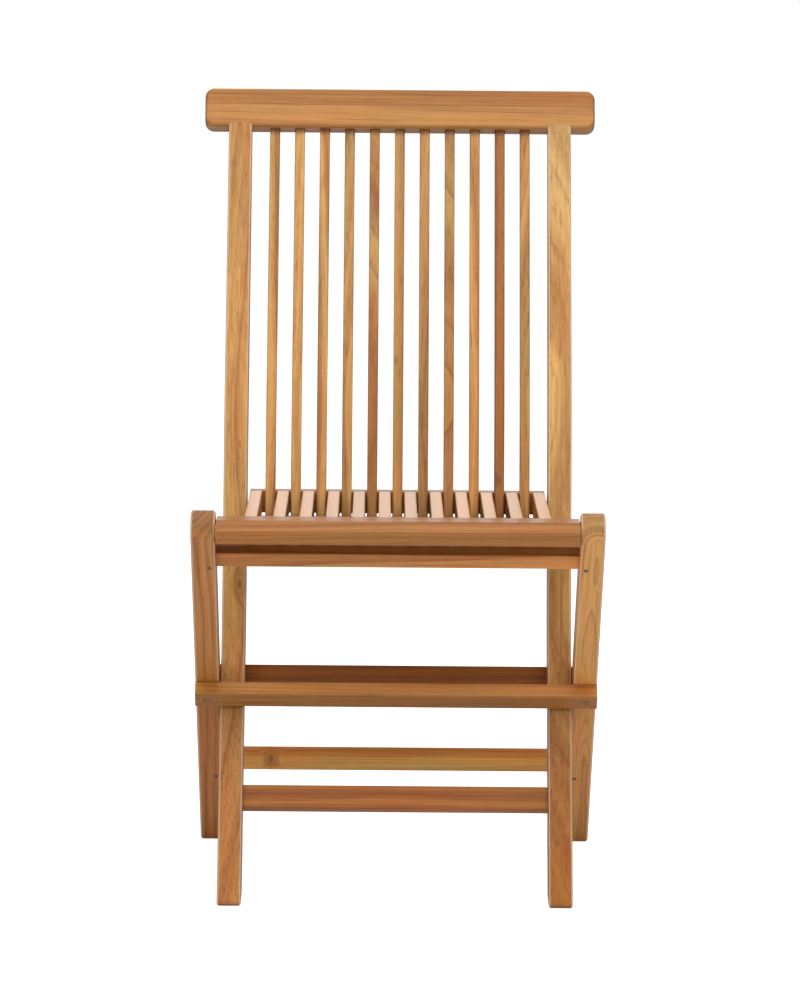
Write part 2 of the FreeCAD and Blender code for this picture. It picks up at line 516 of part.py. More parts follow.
def build_stile(name, side, top_rail):
    """A bent back stile with its tenon; its top end is scribed over the top rail's rounded edge."""
    body = new_body(f"{name}_blank")
    front, rear = "-Sizes.stile_depth / 2", "Sizes.stile_depth / 2"
    top_down = "Sizes.top_rail_height - Sizes.top_rail_edge"
    top_corners = [upper_point(top_down, "Sizes.stile_top_depth"), upper_point(top_down, "0")]
    outline = polygon(sketch_on(body, f"{name}_outline", "YZ_Plane"), [
        (front, foot_along(front, STILE_LEAN)),
        (rear, foot_along(rear, STILE_LEAN)),
        *bend(low_bend(rear), "0", "Places.low_turn", "Sizes.low_bend_radius + Sizes.stile_depth"),
        *bend(high_bend(rear), "Places.low_turn", "Places.high_turn - Places.taper_angle",
              "Sizes.high_bend_radius - Sizes.stile_depth"),
        *top_corners,
        *bend(high_bend(front), "Places.low_turn", "Places.high_turn", "Sizes.high_bend_radius",
              rising=False),
        *bend(low_bend(front), "0", "Places.low_turn", "Sizes.low_bend_radius", rising=False),
    ])
    pad(body, outline, "Sizes.stile_width", f"{name}_bar")
    foot_value = max(work_out(foot_along(off, STILE_LEAN)) for off in (front, rear))
    top_value = min(work_out(corner[1]) for corner in top_corners)
    round_edges(body, "Sizes.foot_radius", f"{name}_foot",
                lambda edge: runs_along(edge, X_AXIS) and middle(edge).z < foot_value + 1)
    half_width = work_out("Sizes.stile_width / 2")
    round_edges(body, "Sizes.arris", f"{name}_edges",
                lambda edge: (at_x(edge, half_width) or at_x(edge, -half_width))
                and middle(edge).z < top_value - 1)
    tenon = polygon(sketch_on(body, f"{name}_tenon_outline", "YZ_Plane"), [
        upper_point("Sizes.top_rail_height + 1", "(Sizes.stile_top_depth - Sizes.stile_tenon_depth) / 2"),
        upper_point("Sizes.top_rail_height + 1", "(Sizes.stile_top_depth + Sizes.stile_tenon_depth) / 2"),
        upper_point("Sizes.top_rail_height - Sizes.stile_tenon_length",
                    "(Sizes.stile_top_depth + Sizes.stile_tenon_depth) / 2"),
        upper_point("Sizes.top_rail_height - Sizes.stile_tenon_length",
                    "(Sizes.stile_top_depth - Sizes.stile_tenon_depth) / 2"),
    ])
    pad(body, tenon, "Sizes.stile_tenon_width", f"{name}_tenon")
    tenon_mortise(body, f"{name}_stretcher_mortise", side, "Sizes.stile_width / 2",
                  "0", "-Sizes.front_stretcher_drop",
                  "Sizes.front_stretcher_depth", "Sizes.front_stretcher_height")
    across, along = mid_point("Places.lower_rail_rise - Sizes.lower_rail_height / 2",
                              "Places.slat_middle_off")
    tenon_mortise(body, f"{name}_lower_rail_mortise", side, "Sizes.stile_width / 2", across, along,
                  "Sizes.lower_rail_depth", "Sizes.lower_rail_height", turn="-Places.low_turn")
    bore = disc(sketch_on(body, f"{name}_bore_outline", "YZ_Plane"), ("0", "0"),
                "Sizes.bolt_diameter + 2 * Sizes.running_gap")
    pocket(body, bore, "Sizes.stile_width + 2", f"{name}_bore", midplane=True)
    recess(body, f"{name}_sleeve_recess", side, "Sizes.stile_width / 2", ("0", "0"),
           "Sizes.nut_sleeve_diameter + 2 * Sizes.running_gap",
           "Sizes.nut_height + Sizes.head_recess + Sizes.nut_sleeve_length + Sizes.running_gap", inner=True)
    recess(body, f"{name}_nut_recess", side, "Sizes.stile_width / 2", ("0", "0"),
           "Sizes.nut_diameter + 2 * Sizes.running_gap + 0.4",
           "Sizes.nut_height + Sizes.head_recess", inner=True)
    face_bore(body, f"{name}_screw_bore", "Sizes.stile_depth / 2", "0",
              "Places.rear_stop_along + Sizes.stop_bar_width / 2", "Sizes.screw_diameter",
              "Sizes.screw_length", from_rear=True)
    place(body, f"{side} * Places.stile_x", *CROSSING, turn="-Sizes.stile_lean")
    stile = doc.addObject("Part::Cut", name)
    stile.Base = body
    stile.Tool = top_rail
    stile.Label = name
    return stile


def build_top_rail():
    """The top rail, with rounded ends and edges, and housings for slats and stile tenons."""
    body = new_body("top_rail")
    section = rectangle(sketch_on(body, "top_rail_section", "YZ_Plane"),
                        ("0", "-Sizes.top_rail_height"), ("Sizes.stile_top_depth", "0"))
    pad(body, section, "Sizes.top_rail_length", "top_rail_bar")
    round_edges(body, "Sizes.top_rail_corner", "top_rail_corners", lambda edge: runs_along(edge, V(0, 1, 0)))
    depth = work_out("Sizes.stile_top_depth")
    round_edges(body, "min(Sizes.top_rail_edge; Sizes.stile_top_depth / 2 - 0.5)", "top_rail_edges",
                lambda edge: all(abs(vertex.Point.y) < 0.01 for vertex in edge.Vertexes)
                or all(abs(vertex.Point.y - depth) < 0.01 for vertex in edge.Vertexes))
    gap = "Sizes.glue_gap"
    first = "-(Sizes.back_slat_count - 1) / 2 * Places.slat_pitch"
    housing = rectangle(sketch_on(body, "top_rail_housing_outline", "XY_Plane", "-Sizes.top_rail_height"),
                        (f"{first} - Sizes.back_slat_width / 2 - {gap}", f"Sizes.back_slat_setback - {gap}"),
                        (f"{first} + Sizes.back_slat_width / 2 + {gap}",
                         f"Sizes.back_slat_setback + Sizes.back_slat_depth + {gap}"))
    cut = pocket(body, housing, f"Sizes.slat_housing + {gap}", "top_rail_housing", along_normal=True)
    repeat_across(body, cut, housing, "top_rail_housings", "Sizes.back_slat_count")
    middle_off = "Sizes.stile_top_depth / 2"
    for side in (LEFT, RIGHT):
        tenon_hole = rectangle(
            sketch_on(body, f"top_rail_mortise_outline_{side + 2}", "XY_Plane", "-Sizes.top_rail_height"),
            (f"{side} * Places.stile_x - Sizes.stile_tenon_width / 2 - {gap}",
             f"{middle_off} - Sizes.stile_tenon_depth / 2 - {gap}"),
            (f"{side} * Places.stile_x + Sizes.stile_tenon_width / 2 + {gap}",
             f"{middle_off} + Sizes.stile_tenon_depth / 2 + {gap}"))
        pocket(body, tenon_hole, f"Sizes.stile_tenon_length + {gap}", f"top_rail_mortise_{side + 2}",
               along_normal=True)
    place(body, "0", "Places.top_y", "Places.top_z", turn="-Sizes.back_lean_high")
    return body


def repeat_across(body, feature, sketch, name, count):
    """Repeat a cut across the chair, slat by slat."""
    pattern = body.newObject("PartDesign::LinearPattern", name)
    pattern.Originals = [feature]
    pattern.Direction = (sketch, ["H_Axis"])
    bind(pattern, "Length", f"({count} - 1) * Places.slat_pitch")
    bind(pattern, "Occurrences", count)
    body.Tip = pattern
    doc.recompute()
    return pattern


def build_back_slat(name, number):
    """A bent back slat that ends in the housings of the lower back rail and the top rail."""
    body = new_body(name)
    bottom = "Places.lower_rail_rise - Sizes.slat_housing"
    top = "Sizes.top_rail_height - Sizes.slat_housing"
    setback = "Sizes.back_slat_setback"
    outline = polygon(sketch_on(body, f"{name}_outline", "YZ_Plane"), [
        mid_point(bottom, "Places.slat_front_off"),
        mid_point(bottom, "Places.slat_rear_off"),
        *bend(high_bend("Places.slat_rear_off"), "Places.low_turn", "Places.high_turn",
              f"Sizes.high_bend_radius - {setback} - Sizes.back_slat_depth"),
        upper_point(top, f"{setback} + Sizes.back_slat_depth"),
        upper_point(top, setback),
        *bend(high_bend("Places.slat_front_off"), "Places.low_turn", "Places.high_turn",
              f"Sizes.high_bend_radius - {setback}", rising=False),
    ])
    pad(body, outline, "Sizes.back_slat_width", f"{name}_bar")
    half_width = work_out("Sizes.back_slat_width / 2")
    end_side = work_out("Sizes.back_slat_depth")
    round_edges(body, "Sizes.slat_edge", f"{name}_edges",
                lambda edge: (at_x(edge, half_width) or at_x(edge, -half_width))
                and abs(edge.Length - end_side) > 0.01)
    place(body, f"({number} - (Sizes.back_slat_count + 1) / 2) * Places.slat_pitch", *CROSSING,
          turn="-Sizes.stile_lean")
    return body


def build_rail(name, length, depth, height, tenoned=True):
    """A straight rail centred on its own origin, with rounded edges and a tenon at each end."""
    body = new_body(name)
    section = rectangle(sketch_on(body, f"{name}_section", "YZ_Plane"),
                        (f"-{depth} / 2", f"-{height} / 2"), (f"{depth} / 2", f"{height} / 2"))
    pad(body, section, length, f"{name}_bar")
    round_edges(body, "Sizes.rail_edge", f"{name}_edges", lambda edge: runs_along(edge, X_AXIS))
    if tenoned:
        tenon = rectangle(sketch_on(body, f"{name}_tenon_section", "YZ_Plane"),
                          (f"-{tenon_half(depth)}", f"-{tenon_half(height)}"),
                          (tenon_half(depth), tenon_half(height)))
        pad(body, tenon, f"{length} + 2 * Sizes.tenon_length", f"{name}_tenons")
    return body


def build_lower_back_rail():
    """The rail that carries the back slats' feet; the seat rests on its front edge."""
    body = build_rail("lower_back_rail", "2 * Places.stile_inner", "Sizes.lower_rail_depth",
                      "Sizes.lower_rail_height")
    gap = "Sizes.glue_gap"
    first = "-(Sizes.back_slat_count - 1) / 2 * Places.slat_pitch"
    half_width = f"Sizes.back_slat_width / 2 + {gap}"
    half_depth = f"Sizes.back_slat_depth / 2 + {gap}"
    housing = rectangle(
        sketch_on(body, "lower_rail_housing_outline", "XY_Plane", "Sizes.lower_rail_height / 2"),
        (f"{first} - ({half_width})", f"-({half_depth})"), (f"{first} + {half_width}", half_depth))
    cut = pocket(body, housing, f"Sizes.slat_housing + {gap}", "lower_rail_housing")
    repeat_across(body, cut, housing, "lower_rail_housings", "Sizes.back_slat_count")
    rear, up = side_places("Places.low_bend_y", "Places.low_bend_z", "Sizes.back_lean_low",
                           "Places.lower_rail_rise - Sizes.lower_rail_height / 2", "Places.slat_middle_off")
    place(body, "0", rear, up, turn="-Sizes.back_lean_low")
    return body


def build_front_stretcher():
    """The low stretcher between the stiles."""
    body = build_rail("front_stretcher", "2 * Places.stile_inner", "Sizes.front_stretcher_depth",
                      "Sizes.front_stretcher_height")
    rear, up = side_places(*CROSSING, STILE_LEAN, "-Sizes.front_stretcher_drop", "0")
    place(body, "0", rear, up, turn="-Sizes.stile_lean")
    return body


def build_rear_stretcher():
    """The low stretcher between the legs, with a bore through each tenon for its peg."""
    body = build_rail("rear_stretcher", "2 * Places.leg_inner", "Sizes.rear_stretcher_depth",
                      "Sizes.rear_stretcher_height")
    bore_tenons(body, "rear_stretcher", "Sizes.rear_stretcher_depth")
    rear, up = side_places(*CROSSING, LEG_LEAN, "-Sizes.rear_stretcher_drop", "Sizes.rear_stretcher_back")
    place(body, "0", rear, up, turn="Sizes.leg_lean")
    return body


def build_apron():
    """The apron between the legs, in the middle of their depth, with pegged tenons."""
    body = build_rail("apron_rail", "2 * Places.leg_inner", "Sizes.apron_depth", "Sizes.apron_height")
    bore_tenons(body, "apron_rail", "Sizes.apron_depth")
    rear, up = side_places(*CROSSING, LEG_LEAN, "Places.apron_reach", "0")
    place(body, "0", rear, up, turn="Sizes.leg_lean")
    return body


def bore_tenons(body, name, depth):
    """A bore for a peg through the tenon at each end of a rail."""
    sketch = sketch_on(body, f"{name}_peg_bore_outline", "XZ_Plane")
    for side in (LEFT, RIGHT):
        disc(sketch, (f"{side} * (Places.leg_inner + Sizes.peg_inset)", "0"),
             "Sizes.peg_diameter + 2 * Sizes.glue_gap")
    pocket(body, sketch, f"{depth} + 2", f"{name}_peg_bores", midplane=True)


def build_stop_bar(name, centre_x, lean, along, off, turn, facing):
    """A stop bar across both frames, with a stepped hole for a screw and its plug at each end."""
    body = build_rail(name, "Sizes.frame_width", "Sizes.stop_bar_depth", "Sizes.stop_bar_width",
                      tenoned=False)
    holes = sketch_on(body, f"{name}_hole_outline", "XZ_Plane")
    steps = sketch_on(body, f"{name}_step_outline", "XZ_Plane", f"{-facing} * Sizes.stop_bar_depth / 2")
    for side in (LEFT, RIGHT):
        disc(holes, (f"{side} * {centre_x}", "0"), "Sizes.screw_diameter + 2 * Sizes.glue_gap")
        disc(steps, (f"{side} * {centre_x}", "0"), "Sizes.plug_diameter + 2 * Sizes.glue_gap")
    pocket(body, holes, "Sizes.stop_bar_depth + 2", f"{name}_holes", midplane=True)
    pocket(body, steps, "Sizes.plug_depth + Sizes.screw_head_height", f"{name}_steps",
           along_normal=facing > 0)
    rear, up = side_places(*CROSSING, lean, along, off)
    place(body, "0", rear, up, turn=turn)
    return body


def build_seat_front_rail():
    """The seat's front rail with its sloping upper front, slat mortises and a bore in each end."""
    body = new_body("seat_front_rail")
    length = "2 * (Places.leg_inner - Sizes.seat_end_gap)"
    front, rear = "-Sizes.pin_from_front", "Sizes.front_rail_depth - Sizes.pin_from_front"
    section = polygon(sketch_on(body, "seat_front_rail_section", "YZ_Plane"), [
        (front, "-Sizes.pin_from_below"),
        (rear, "-Sizes.pin_from_below"),
        (rear, "Places.seat_top"),
        (f"{front} + Sizes.bevel_depth", "Places.seat_top"),
        (front, "Places.seat_top - Sizes.bevel_height"),
    ])
    pad(body, section, length, "seat_front_rail_bar")
    below, behind = work_out("-Sizes.pin_from_below"), work_out(rear)
    round_edges(body, "Sizes.bevel_edge", "seat_front_rail_bevel",
                lambda edge: runs_along(edge, X_AXIS) and middle(edge).z > below + 0.1
                and middle(edge).y < behind - 0.1)
    round_edges(body, "Sizes.rail_edge", "seat_front_rail_edges",
                lambda edge: runs_along(edge, X_AXIS) and abs(middle(edge).z - below) < 0.1)
    cut_slat_mortises(body, "seat_front_rail", f"-({rear})", along_normal=True)
    ends = sketch_on(body, "seat_front_rail_bore_outline", "YZ_Plane", length + " / 2")
    disc(ends, ("0", "0"), "Sizes.seat_pin_diameter + 2 * Sizes.running_gap")
    bore = pocket(body, ends, "Sizes.seat_pin_depth + 1", "seat_front_rail_bore")
    mirror = body.newObject("PartDesign::Mirrored", "seat_front_rail_bores")
    mirror.Originals = [bore]
    mirror.MirrorPlane = (own_plane(body, "YZ_Plane"), [""])
    body.Tip = mirror
    doc.recompute()
    place(body, "0", "Places.seat_pin_y", "Places.seat_pin_z", turn="-Sizes.seat_tilt")
    return body


def cut_slat_mortises(body, name, face, along_normal):
    """Mortises for the seat slats' tenons: one between each pair of back slats, and the outer two."""
    sketch = sketch_on(body, f"{name}_mortise_outline", "XZ_Plane", face)
    middle_z = "(Places.seat_top + Places.slat_under) / 2"
    for across in seat_slat_places():
        rectangle(sketch,
                  (f"{across} - Sizes.slat_tenon_width / 2 - Sizes.glue_gap",
                   f"{middle_z} - Sizes.slat_tenon_height / 2 - Sizes.glue_gap"),
                  (f"{across} + Sizes.slat_tenon_width / 2 + Sizes.glue_gap",
                   f"{middle_z} + Sizes.slat_tenon_height / 2 + Sizes.glue_gap"))
    pocket(body, sketch, "Sizes.slat_housing + Sizes.glue_gap", f"{name}_mortises", along_normal=along_normal)


def seat_slat_places():
    """Expressions for the X of each seat slat, from left to right."""
    spaces = round(work_out("Sizes.back_slat_count")) - 1
    inner = [f"{number - (spaces - 1) / 2} * Places.slat_pitch" for number in range(spaces)]
    return ["-Places.outer_seat_slat"] + inner + ["Places.outer_seat_slat"]


def build_seat_slat(name, across):
    """A seat slat with rounded top edges and a tenon at each end."""
    body = new_body(name)
    section = rectangle(sketch_on(body, f"{name}_section", "XZ_Plane"),
                        ("-Places.seat_slat_width / 2", "Places.slat_under"),
                        ("Places.seat_slat_width / 2", "Places.seat_top"))
    pad(body, section, "Places.slat_length", f"{name}_bar")
    top_value = work_out("Places.seat_top")
    round_edges(body, "Sizes.slat_edge", f"{name}_edges",
                lambda edge: runs_along(edge, V(0, 1, 0)) and middle(edge).z > top_value - 0.1)
    middle_z = "(Places.seat_top + Places.slat_under) / 2"
    tenon = rectangle(sketch_on(body, f"{name}_tenon_section", "XZ_Plane"),
                      ("-Sizes.slat_tenon_width / 2", f"{middle_z} - Sizes.slat_tenon_height / 2"),
                      ("Sizes.slat_tenon_width / 2", f"{middle_z} + Sizes.slat_tenon_height / 2"))
    pad(body, tenon, "Places.slat_length + 2 * Sizes.slat_housing", f"{name}_tenons")
    rear, up = side_places("Places.seat_pin_y", "Places.seat_pin_z", "(90 + Sizes.seat_tilt)",
                           "Places.slat_middle", "0")
    place(body, across, rear, up, turn="-Sizes.seat_tilt")
    return body


def build_seat_rear_rail():
    """The seat's rear rail, behind the back slats."""
    body = new_body("seat_rear_rail")
    length = "2 * (Places.stile_inner - Sizes.seat_side_gap)"
    section = rectangle(sketch_on(body, "seat_rear_rail_section", "YZ_Plane"),
                        ("Places.seat_reach", "Places.seat_top - Sizes.rear_rail_height"),
                        ("Places.seat_reach + Sizes.rear_rail_depth", "Places.seat_top"))
    pad(body, section, length, "seat_rear_rail_bar")
    rear_face = work_out("Places.seat_reach + Sizes.rear_rail_depth")
    round_edges(body, "Sizes.rail_edge", "seat_rear_rail_edges",
                lambda edge: runs_along(edge, X_AXIS) and abs(middle(edge).y - rear_face) < 0.1)
    cut_slat_mortises(body, "seat_rear_rail", "-Places.seat_reach", along_normal=False)
    place(body, "0", "Places.seat_pin_y", "Places.seat_pin_z", turn="-Sizes.seat_tilt")
    return body


def cylinder(name, radius, height, across, rear, up, axis=X_AXIS):
    """A round piece that starts at a place and runs along an axis."""
    obj = doc.addObject("Part::Cylinder", name)
    bind(obj, "Radius", radius)
    bind(obj, "Height", height)
    obj.Placement = FreeCAD.Placement(V(0, 0, 0), FreeCAD.Rotation(V(0, 0, 1), axis))
    bind(obj, "Placement.Base.x", across)
    bind(obj, "Placement.Base.y", f"Places.pivot_y + ({rear})")
    bind(obj, "Placement.Base.z", up)
    return obj


def joined(name, pieces):
    """Several round pieces made one."""
    fuse = doc.addObject("Part::MultiFuse", name)
    fuse.Shapes = pieces
    return fuse


def drilled(name, piece, tool):
    """One piece with another taken out of it."""
    cut = doc.addObject("Part::Cut", name)
    cut.Base = piece
    cut.Tool = tool
    return cut


def group(name, pieces):
    """Like pieces kept together as separate solids under one name."""
    compound = doc.addObject("Part::Compound", name)
    compound.Links = pieces
    compound.Label = name
    return compound


def both_sides(name, make):
    """The left and right pieces of one kind."""
    return group(name, [make(LEFT, f"{name}_left"), make(RIGHT, f"{name}_right")])


def inward(side):
    """Direction from the outside of the chair to its middle."""
    return V(-side, 0, 0)


def make_pivot_bolt(side, name):
    """A crossing bolt: flat head in the leg, shank through leg and stile."""
    head_x = f"{side} * (Sizes.frame_width / 2 - Sizes.head_recess)"
    head = cylinder(f"{name}_head", "Sizes.bolt_head_diameter / 2", "Sizes.bolt_head_height",
                    head_x, *CROSSING, axis=inward(side))
    shank = cylinder(f"{name}_shank", "Sizes.bolt_diameter / 2",
                     "Sizes.leg_width + Sizes.frame_gap + Sizes.stile_width - Sizes.head_recess"
                     " - Sizes.nut_height - Sizes.head_recess",
                     head_x, *CROSSING, axis=inward(side))
    return joined(name, [head, shank])


def make_pivot_nut(side, name):
    """A cap nut: flange in the stile's inner face, sleeve round the bolt's end."""
    flange = cylinder(f"{name}_flange", "Sizes.nut_diameter / 2", "Sizes.nut_height",
                      f"{side} * (Places.stile_inner + Sizes.head_recess)", *CROSSING, axis=-inward(side))
    sleeve = cylinder(f"{name}_sleeve", "Sizes.nut_sleeve_diameter / 2",
                      "Sizes.nut_height + Sizes.nut_sleeve_length",
                      f"{side} * (Places.stile_inner + Sizes.head_recess)", *CROSSING, axis=-inward(side))
    bore = cylinder(f"{name}_bore", "Sizes.bolt_diameter / 2", "Sizes.nut_sleeve_length + 1",
                    f"{side} * (Places.stile_inner + Sizes.head_recess + Sizes.nut_height)", *CROSSING,
                    axis=-inward(side))
    return drilled(name, joined(f"{name}_solid", [flange, sleeve]), bore)


def make_washer(side, name, centre, outer_x, thickness, bore_diameter):
    """A flat washer between two turning pieces."""
    disc_piece = cylinder(f"{name}_disc", "Sizes.washer_diameter / 2", thickness, outer_x, *centre,
                          axis=inward(side))
    hole = cylinder(f"{name}_hole", bore_diameter, f"{thickness} + 2", f"{outer_x} + {side}", *centre,
                    axis=inward(side))
    return drilled(name, disc_piece, hole)


def make_pivot_washer(side, name):
    """Washer between leg and stile."""
    return make_washer(side, name, CROSSING, f"{side} * Places.leg_inner", "Sizes.frame_gap",
                       "Sizes.bolt_diameter / 2")


def make_seat_washer(side, name):
    """Washer between leg and seat front rail."""
    return make_washer(side, name, ("Places.seat_pin_y", "Places.seat_pin_z"), f"{side} * Places.leg_inner",
                       "Sizes.seat_end_gap", "Sizes.seat_pin_diameter / 2")


def make_seat_pin(side, name):
    """A seat pin: flat head in the leg, shank into the end of the seat's front rail."""
    centre = ("Places.seat_pin_y", "Places.seat_pin_z")
    head_x = f"{side} * (Sizes.frame_width / 2 - Sizes.head_recess)"
    head = cylinder(f"{name}_head", "Sizes.seat_pin_head_diameter / 2", "Sizes.bolt_head_height",
                    head_x, *centre, axis=inward(side))
    shank = cylinder(f"{name}_shank", "Sizes.seat_pin_diameter / 2",
                     "Sizes.leg_width - Sizes.head_recess + Sizes.seat_end_gap + Sizes.seat_pin_depth",
                     head_x, *centre, axis=inward(side))
    return joined(name, [head, shank])


def square_to(lean):
    """Unit vector from a member's front face to its rear face."""
    angle = math.radians(work_out(lean))
    return V(0, math.cos(angle), -math.sin(angle))


def make_peg(side, name, along, length):
    """A wooden peg from a leg's front face through a tenon."""
    rear, up = side_places(*CROSSING, LEG_LEAN, along, "-Sizes.leg_depth / 2")
    return cylinder(name, "Sizes.peg_diameter / 2", length,
                    f"{side} * (Places.leg_inner + Sizes.peg_inset)", rear, up, axis=square_to(LEG_LEAN))


def make_apron_peg(side, name):
    """Peg through an apron tenon."""
    return make_peg(side, name, "Places.apron_reach", APRON_PEG_LENGTH)


def make_stretcher_peg(side, name):
    """Peg through a rear stretcher tenon."""
    return make_peg(side, name, "-Sizes.rear_stretcher_drop", STRETCHER_PEG_LENGTH)


def make_screw(side, name, centre_x, lean, along, face_off, facing):
    """A stop bar screw: its head lies under a plug and its shank runs into the wood behind the bar."""
    head_off = f"{face_off} + ({facing}) * (Sizes.stop_bar_depth - Sizes.plug_depth)"
    rear, up = side_places(*CROSSING, lean, along, head_off)
    axis = square_to(lean) * -facing
    head = cylinder(f"{name}_head", "Sizes.screw_head_diameter / 2", "Sizes.screw_head_height",
                    f"{side} * {centre_x}", rear, up, axis=axis)
    shank = cylinder(f"{name}_shank", "Sizes.screw_diameter / 2", "Sizes.screw_length",
                     f"{side} * {centre_x}", rear, up, axis=axis)
    return joined(name, [head, shank])


def make_plug(side, name, centre_x, lean, along, face_off, facing):
    """A wooden plug that fills the hole over a stop bar screw, flush with the bar."""
    rear, up = side_places(*CROSSING, lean, along, f"{face_off} + ({facing}) * Sizes.stop_bar_depth")
    return cylinder(name, "Sizes.plug_diameter / 2", "Sizes.plug_depth", f"{side} * {centre_x}", rear, up,
                    axis=square_to(lean) * -facing)


FRONT_STOP = ("Places.leg_x", LEG_LEAN, "Places.front_stop_along + Sizes.stop_bar_width / 2")
REAR_STOP = ("Places.stile_x", STILE_LEAN, "Places.rear_stop_along + Sizes.stop_bar_width / 2")


def make_front_screw(side, name):
    """Screw of the front stop bar."""
    return make_screw(side, name, *FRONT_STOP, "-Sizes.leg_depth / 2", -1)


def make_rear_screw(side, name):
    """Screw of the rear stop bar."""
    return make_screw(side, name, *REAR_STOP, "Sizes.stile_depth / 2", 1)


def make_front_plug(side, name):
    """Plug of the front stop bar."""
    return make_plug(side, name, *FRONT_STOP, "-Sizes.leg_depth / 2", -1)


def make_rear_plug(side, name):
    """Plug of the rear stop bar."""
    return make_plug(side, name, *REAR_STOP, "Sizes.stile_depth / 2", 1)


# Back frame
top_rail = build_top_rail()
nodes = [
    build_stile("stile_left", LEFT, top_rail),
    build_stile("stile_right", RIGHT, top_rail),
    top_rail,
    build_lower_back_rail(),
    build_front_stretcher(),
    build_stop_bar("rear_stop_bar", REAR_STOP[0], *REAR_STOP[1:],
                   "(Sizes.stile_depth + Sizes.stop_bar_depth) / 2", "-Sizes.stile_lean", 1),
    both_sides("rear_stop_screws", make_rear_screw),
    both_sides("rear_stop_plugs", make_rear_plug),
]
for slat_number in range(1, round(work_out("Sizes.back_slat_count")) + 1):
    nodes.append(build_back_slat(f"back_slat_{slat_number:02d}", slat_number))

# Leg frame
nodes += [
    build_leg("leg_left", LEFT),
    build_leg("leg_right", RIGHT),
    build_apron(),
    build_rear_stretcher(),
    build_stop_bar("front_stop_bar", FRONT_STOP[0], *FRONT_STOP[1:],
                   "-(Sizes.leg_depth + Sizes.stop_bar_depth) / 2", "Sizes.leg_lean", -1),
    both_sides("front_stop_screws", make_front_screw),
    both_sides("front_stop_plugs", make_front_plug),
    both_sides("apron_pegs", make_apron_peg),
    both_sides("stretcher_pegs", make_stretcher_peg),
    both_sides("pivot_bolts", make_pivot_bolt),
    both_sides("pivot_nuts", make_pivot_nut),
    both_sides("pivot_washers", make_pivot_washer),
    both_sides("seat_pins", make_seat_pin),
    both_sides("seat_washers", make_seat_washer),
]

# Seat
nodes += [build_seat_front_rail(), build_seat_rear_rail()]
for slat_number, slat_x in enumerate(seat_slat_places(), start=1):
    nodes.append(build_seat_slat(f"seat_slat_{slat_number:02d}", slat_x))

doc.recompute()
for item in doc.Objects:
    if "Invalid" in item.State or "Error" in item.State:
        raise RuntimeError(f"{item.Name} did not recompute: {item.State}")
for node in nodes:
    if node.Shape.isNull() or not node.Shape.isValid():
        raise RuntimeError(f"{node.Label} has no valid shape")

os.makedirs("parts", exist_ok=True)
for node in nodes:
    node.Shape.exportStep(f"parts/{node.Label}.step")

# What the record needs: the two hinge lines and the box.
whole = Part.makeCompound([node.Shape for node in nodes])
box = whole.optimalBoundingBox(False, False)
print("nodes", len(nodes), "solids", sum(len(node.Shape.Solids) for node in nodes))
print("crossing bolt", round(work_out("Places.pivot_y"), 3), work_out("Sizes.pivot_height"))
print("seat pin", round(work_out("Places.pivot_y + Places.seat_pin_y"), 3),
      round(work_out("Places.seat_pin_z"), 3))
print("box", [round(value, 3) for value in (box.XMin, box.YMin, box.ZMin, box.XMax, box.YMax, box.ZMax)])
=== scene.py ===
"""Finish of a folding teak side chair: its wood and brass, its slim front stretcher and its studio."""

import json
import math

import bpy
import numpy as np
from bpy.props import FloatProperty, FloatVectorProperty, PointerProperty
from mathutils import Matrix, Vector


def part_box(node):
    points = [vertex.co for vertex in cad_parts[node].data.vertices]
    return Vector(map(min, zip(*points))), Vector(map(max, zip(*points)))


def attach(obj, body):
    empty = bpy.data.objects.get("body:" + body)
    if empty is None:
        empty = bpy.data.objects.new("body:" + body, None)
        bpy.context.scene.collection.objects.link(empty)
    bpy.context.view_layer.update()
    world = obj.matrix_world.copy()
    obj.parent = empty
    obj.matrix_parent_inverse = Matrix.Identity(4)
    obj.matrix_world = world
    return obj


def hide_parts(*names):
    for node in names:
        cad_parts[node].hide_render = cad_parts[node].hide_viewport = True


bl_info = {
    "name": "Folding Teak Chair",
    "version": (1, 0, 0),
    "blender": (4, 5, 0),
    "location": "3D View > Sidebar > Chair",
    "description": "Dresses a folding teak side chair and sets up its studio",
    "category": "Object",
}

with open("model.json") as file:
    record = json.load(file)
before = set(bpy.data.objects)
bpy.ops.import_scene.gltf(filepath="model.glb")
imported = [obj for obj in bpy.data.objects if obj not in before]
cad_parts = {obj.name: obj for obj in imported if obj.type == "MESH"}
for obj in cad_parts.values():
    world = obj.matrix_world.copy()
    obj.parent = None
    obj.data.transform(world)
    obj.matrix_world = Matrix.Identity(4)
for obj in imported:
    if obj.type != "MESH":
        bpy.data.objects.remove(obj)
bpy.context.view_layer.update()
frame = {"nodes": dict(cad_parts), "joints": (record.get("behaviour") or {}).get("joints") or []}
NODES = frame["nodes"]
JOINTS = {joint["name"]: joint for joint in frame["joints"]}
BOLT = Vector(JOINTS["leg_fold"]["pos_m"])
MM = 0.001

# Leans in degrees, back from the vertical: the stiles' straight lower stretch, the bent stiles and back
# slats as a whole, the top rail and the lower back rail
STILE_LEAN = 31.5
BACK_LEAN = 22
TOP_RAIL_LEAN = 27
LOWER_BACK_RAIL_LEAN = 18

# Height where the painted shade on a stile's foot, under the seat, has faded, and heights where a head's tone
# starts and is full
FOOT_REACH = 0.45
STILE_HEAD_REACH = (0.62, 0.868)
SLAT_HEAD_REACH = (0.8455, 0.852)

# Tone and warmth of each slat of the back, from the left, and the painted shade on all their heads, under the
# top rail
BACK_SLAT_TINTS = ((1.03, -0.08), (1.22, -0.16), (1.1, -0.12), (0.98, -0.12), (0.92, -0.06), (0.8, 0.0),
                   (0.8, -0.08), (0.82, -0.06), (1.0, -0.04), (0.42, 0.38), (0.9, -0.06))
SLAT_HEAD = (0.42, 0.1)
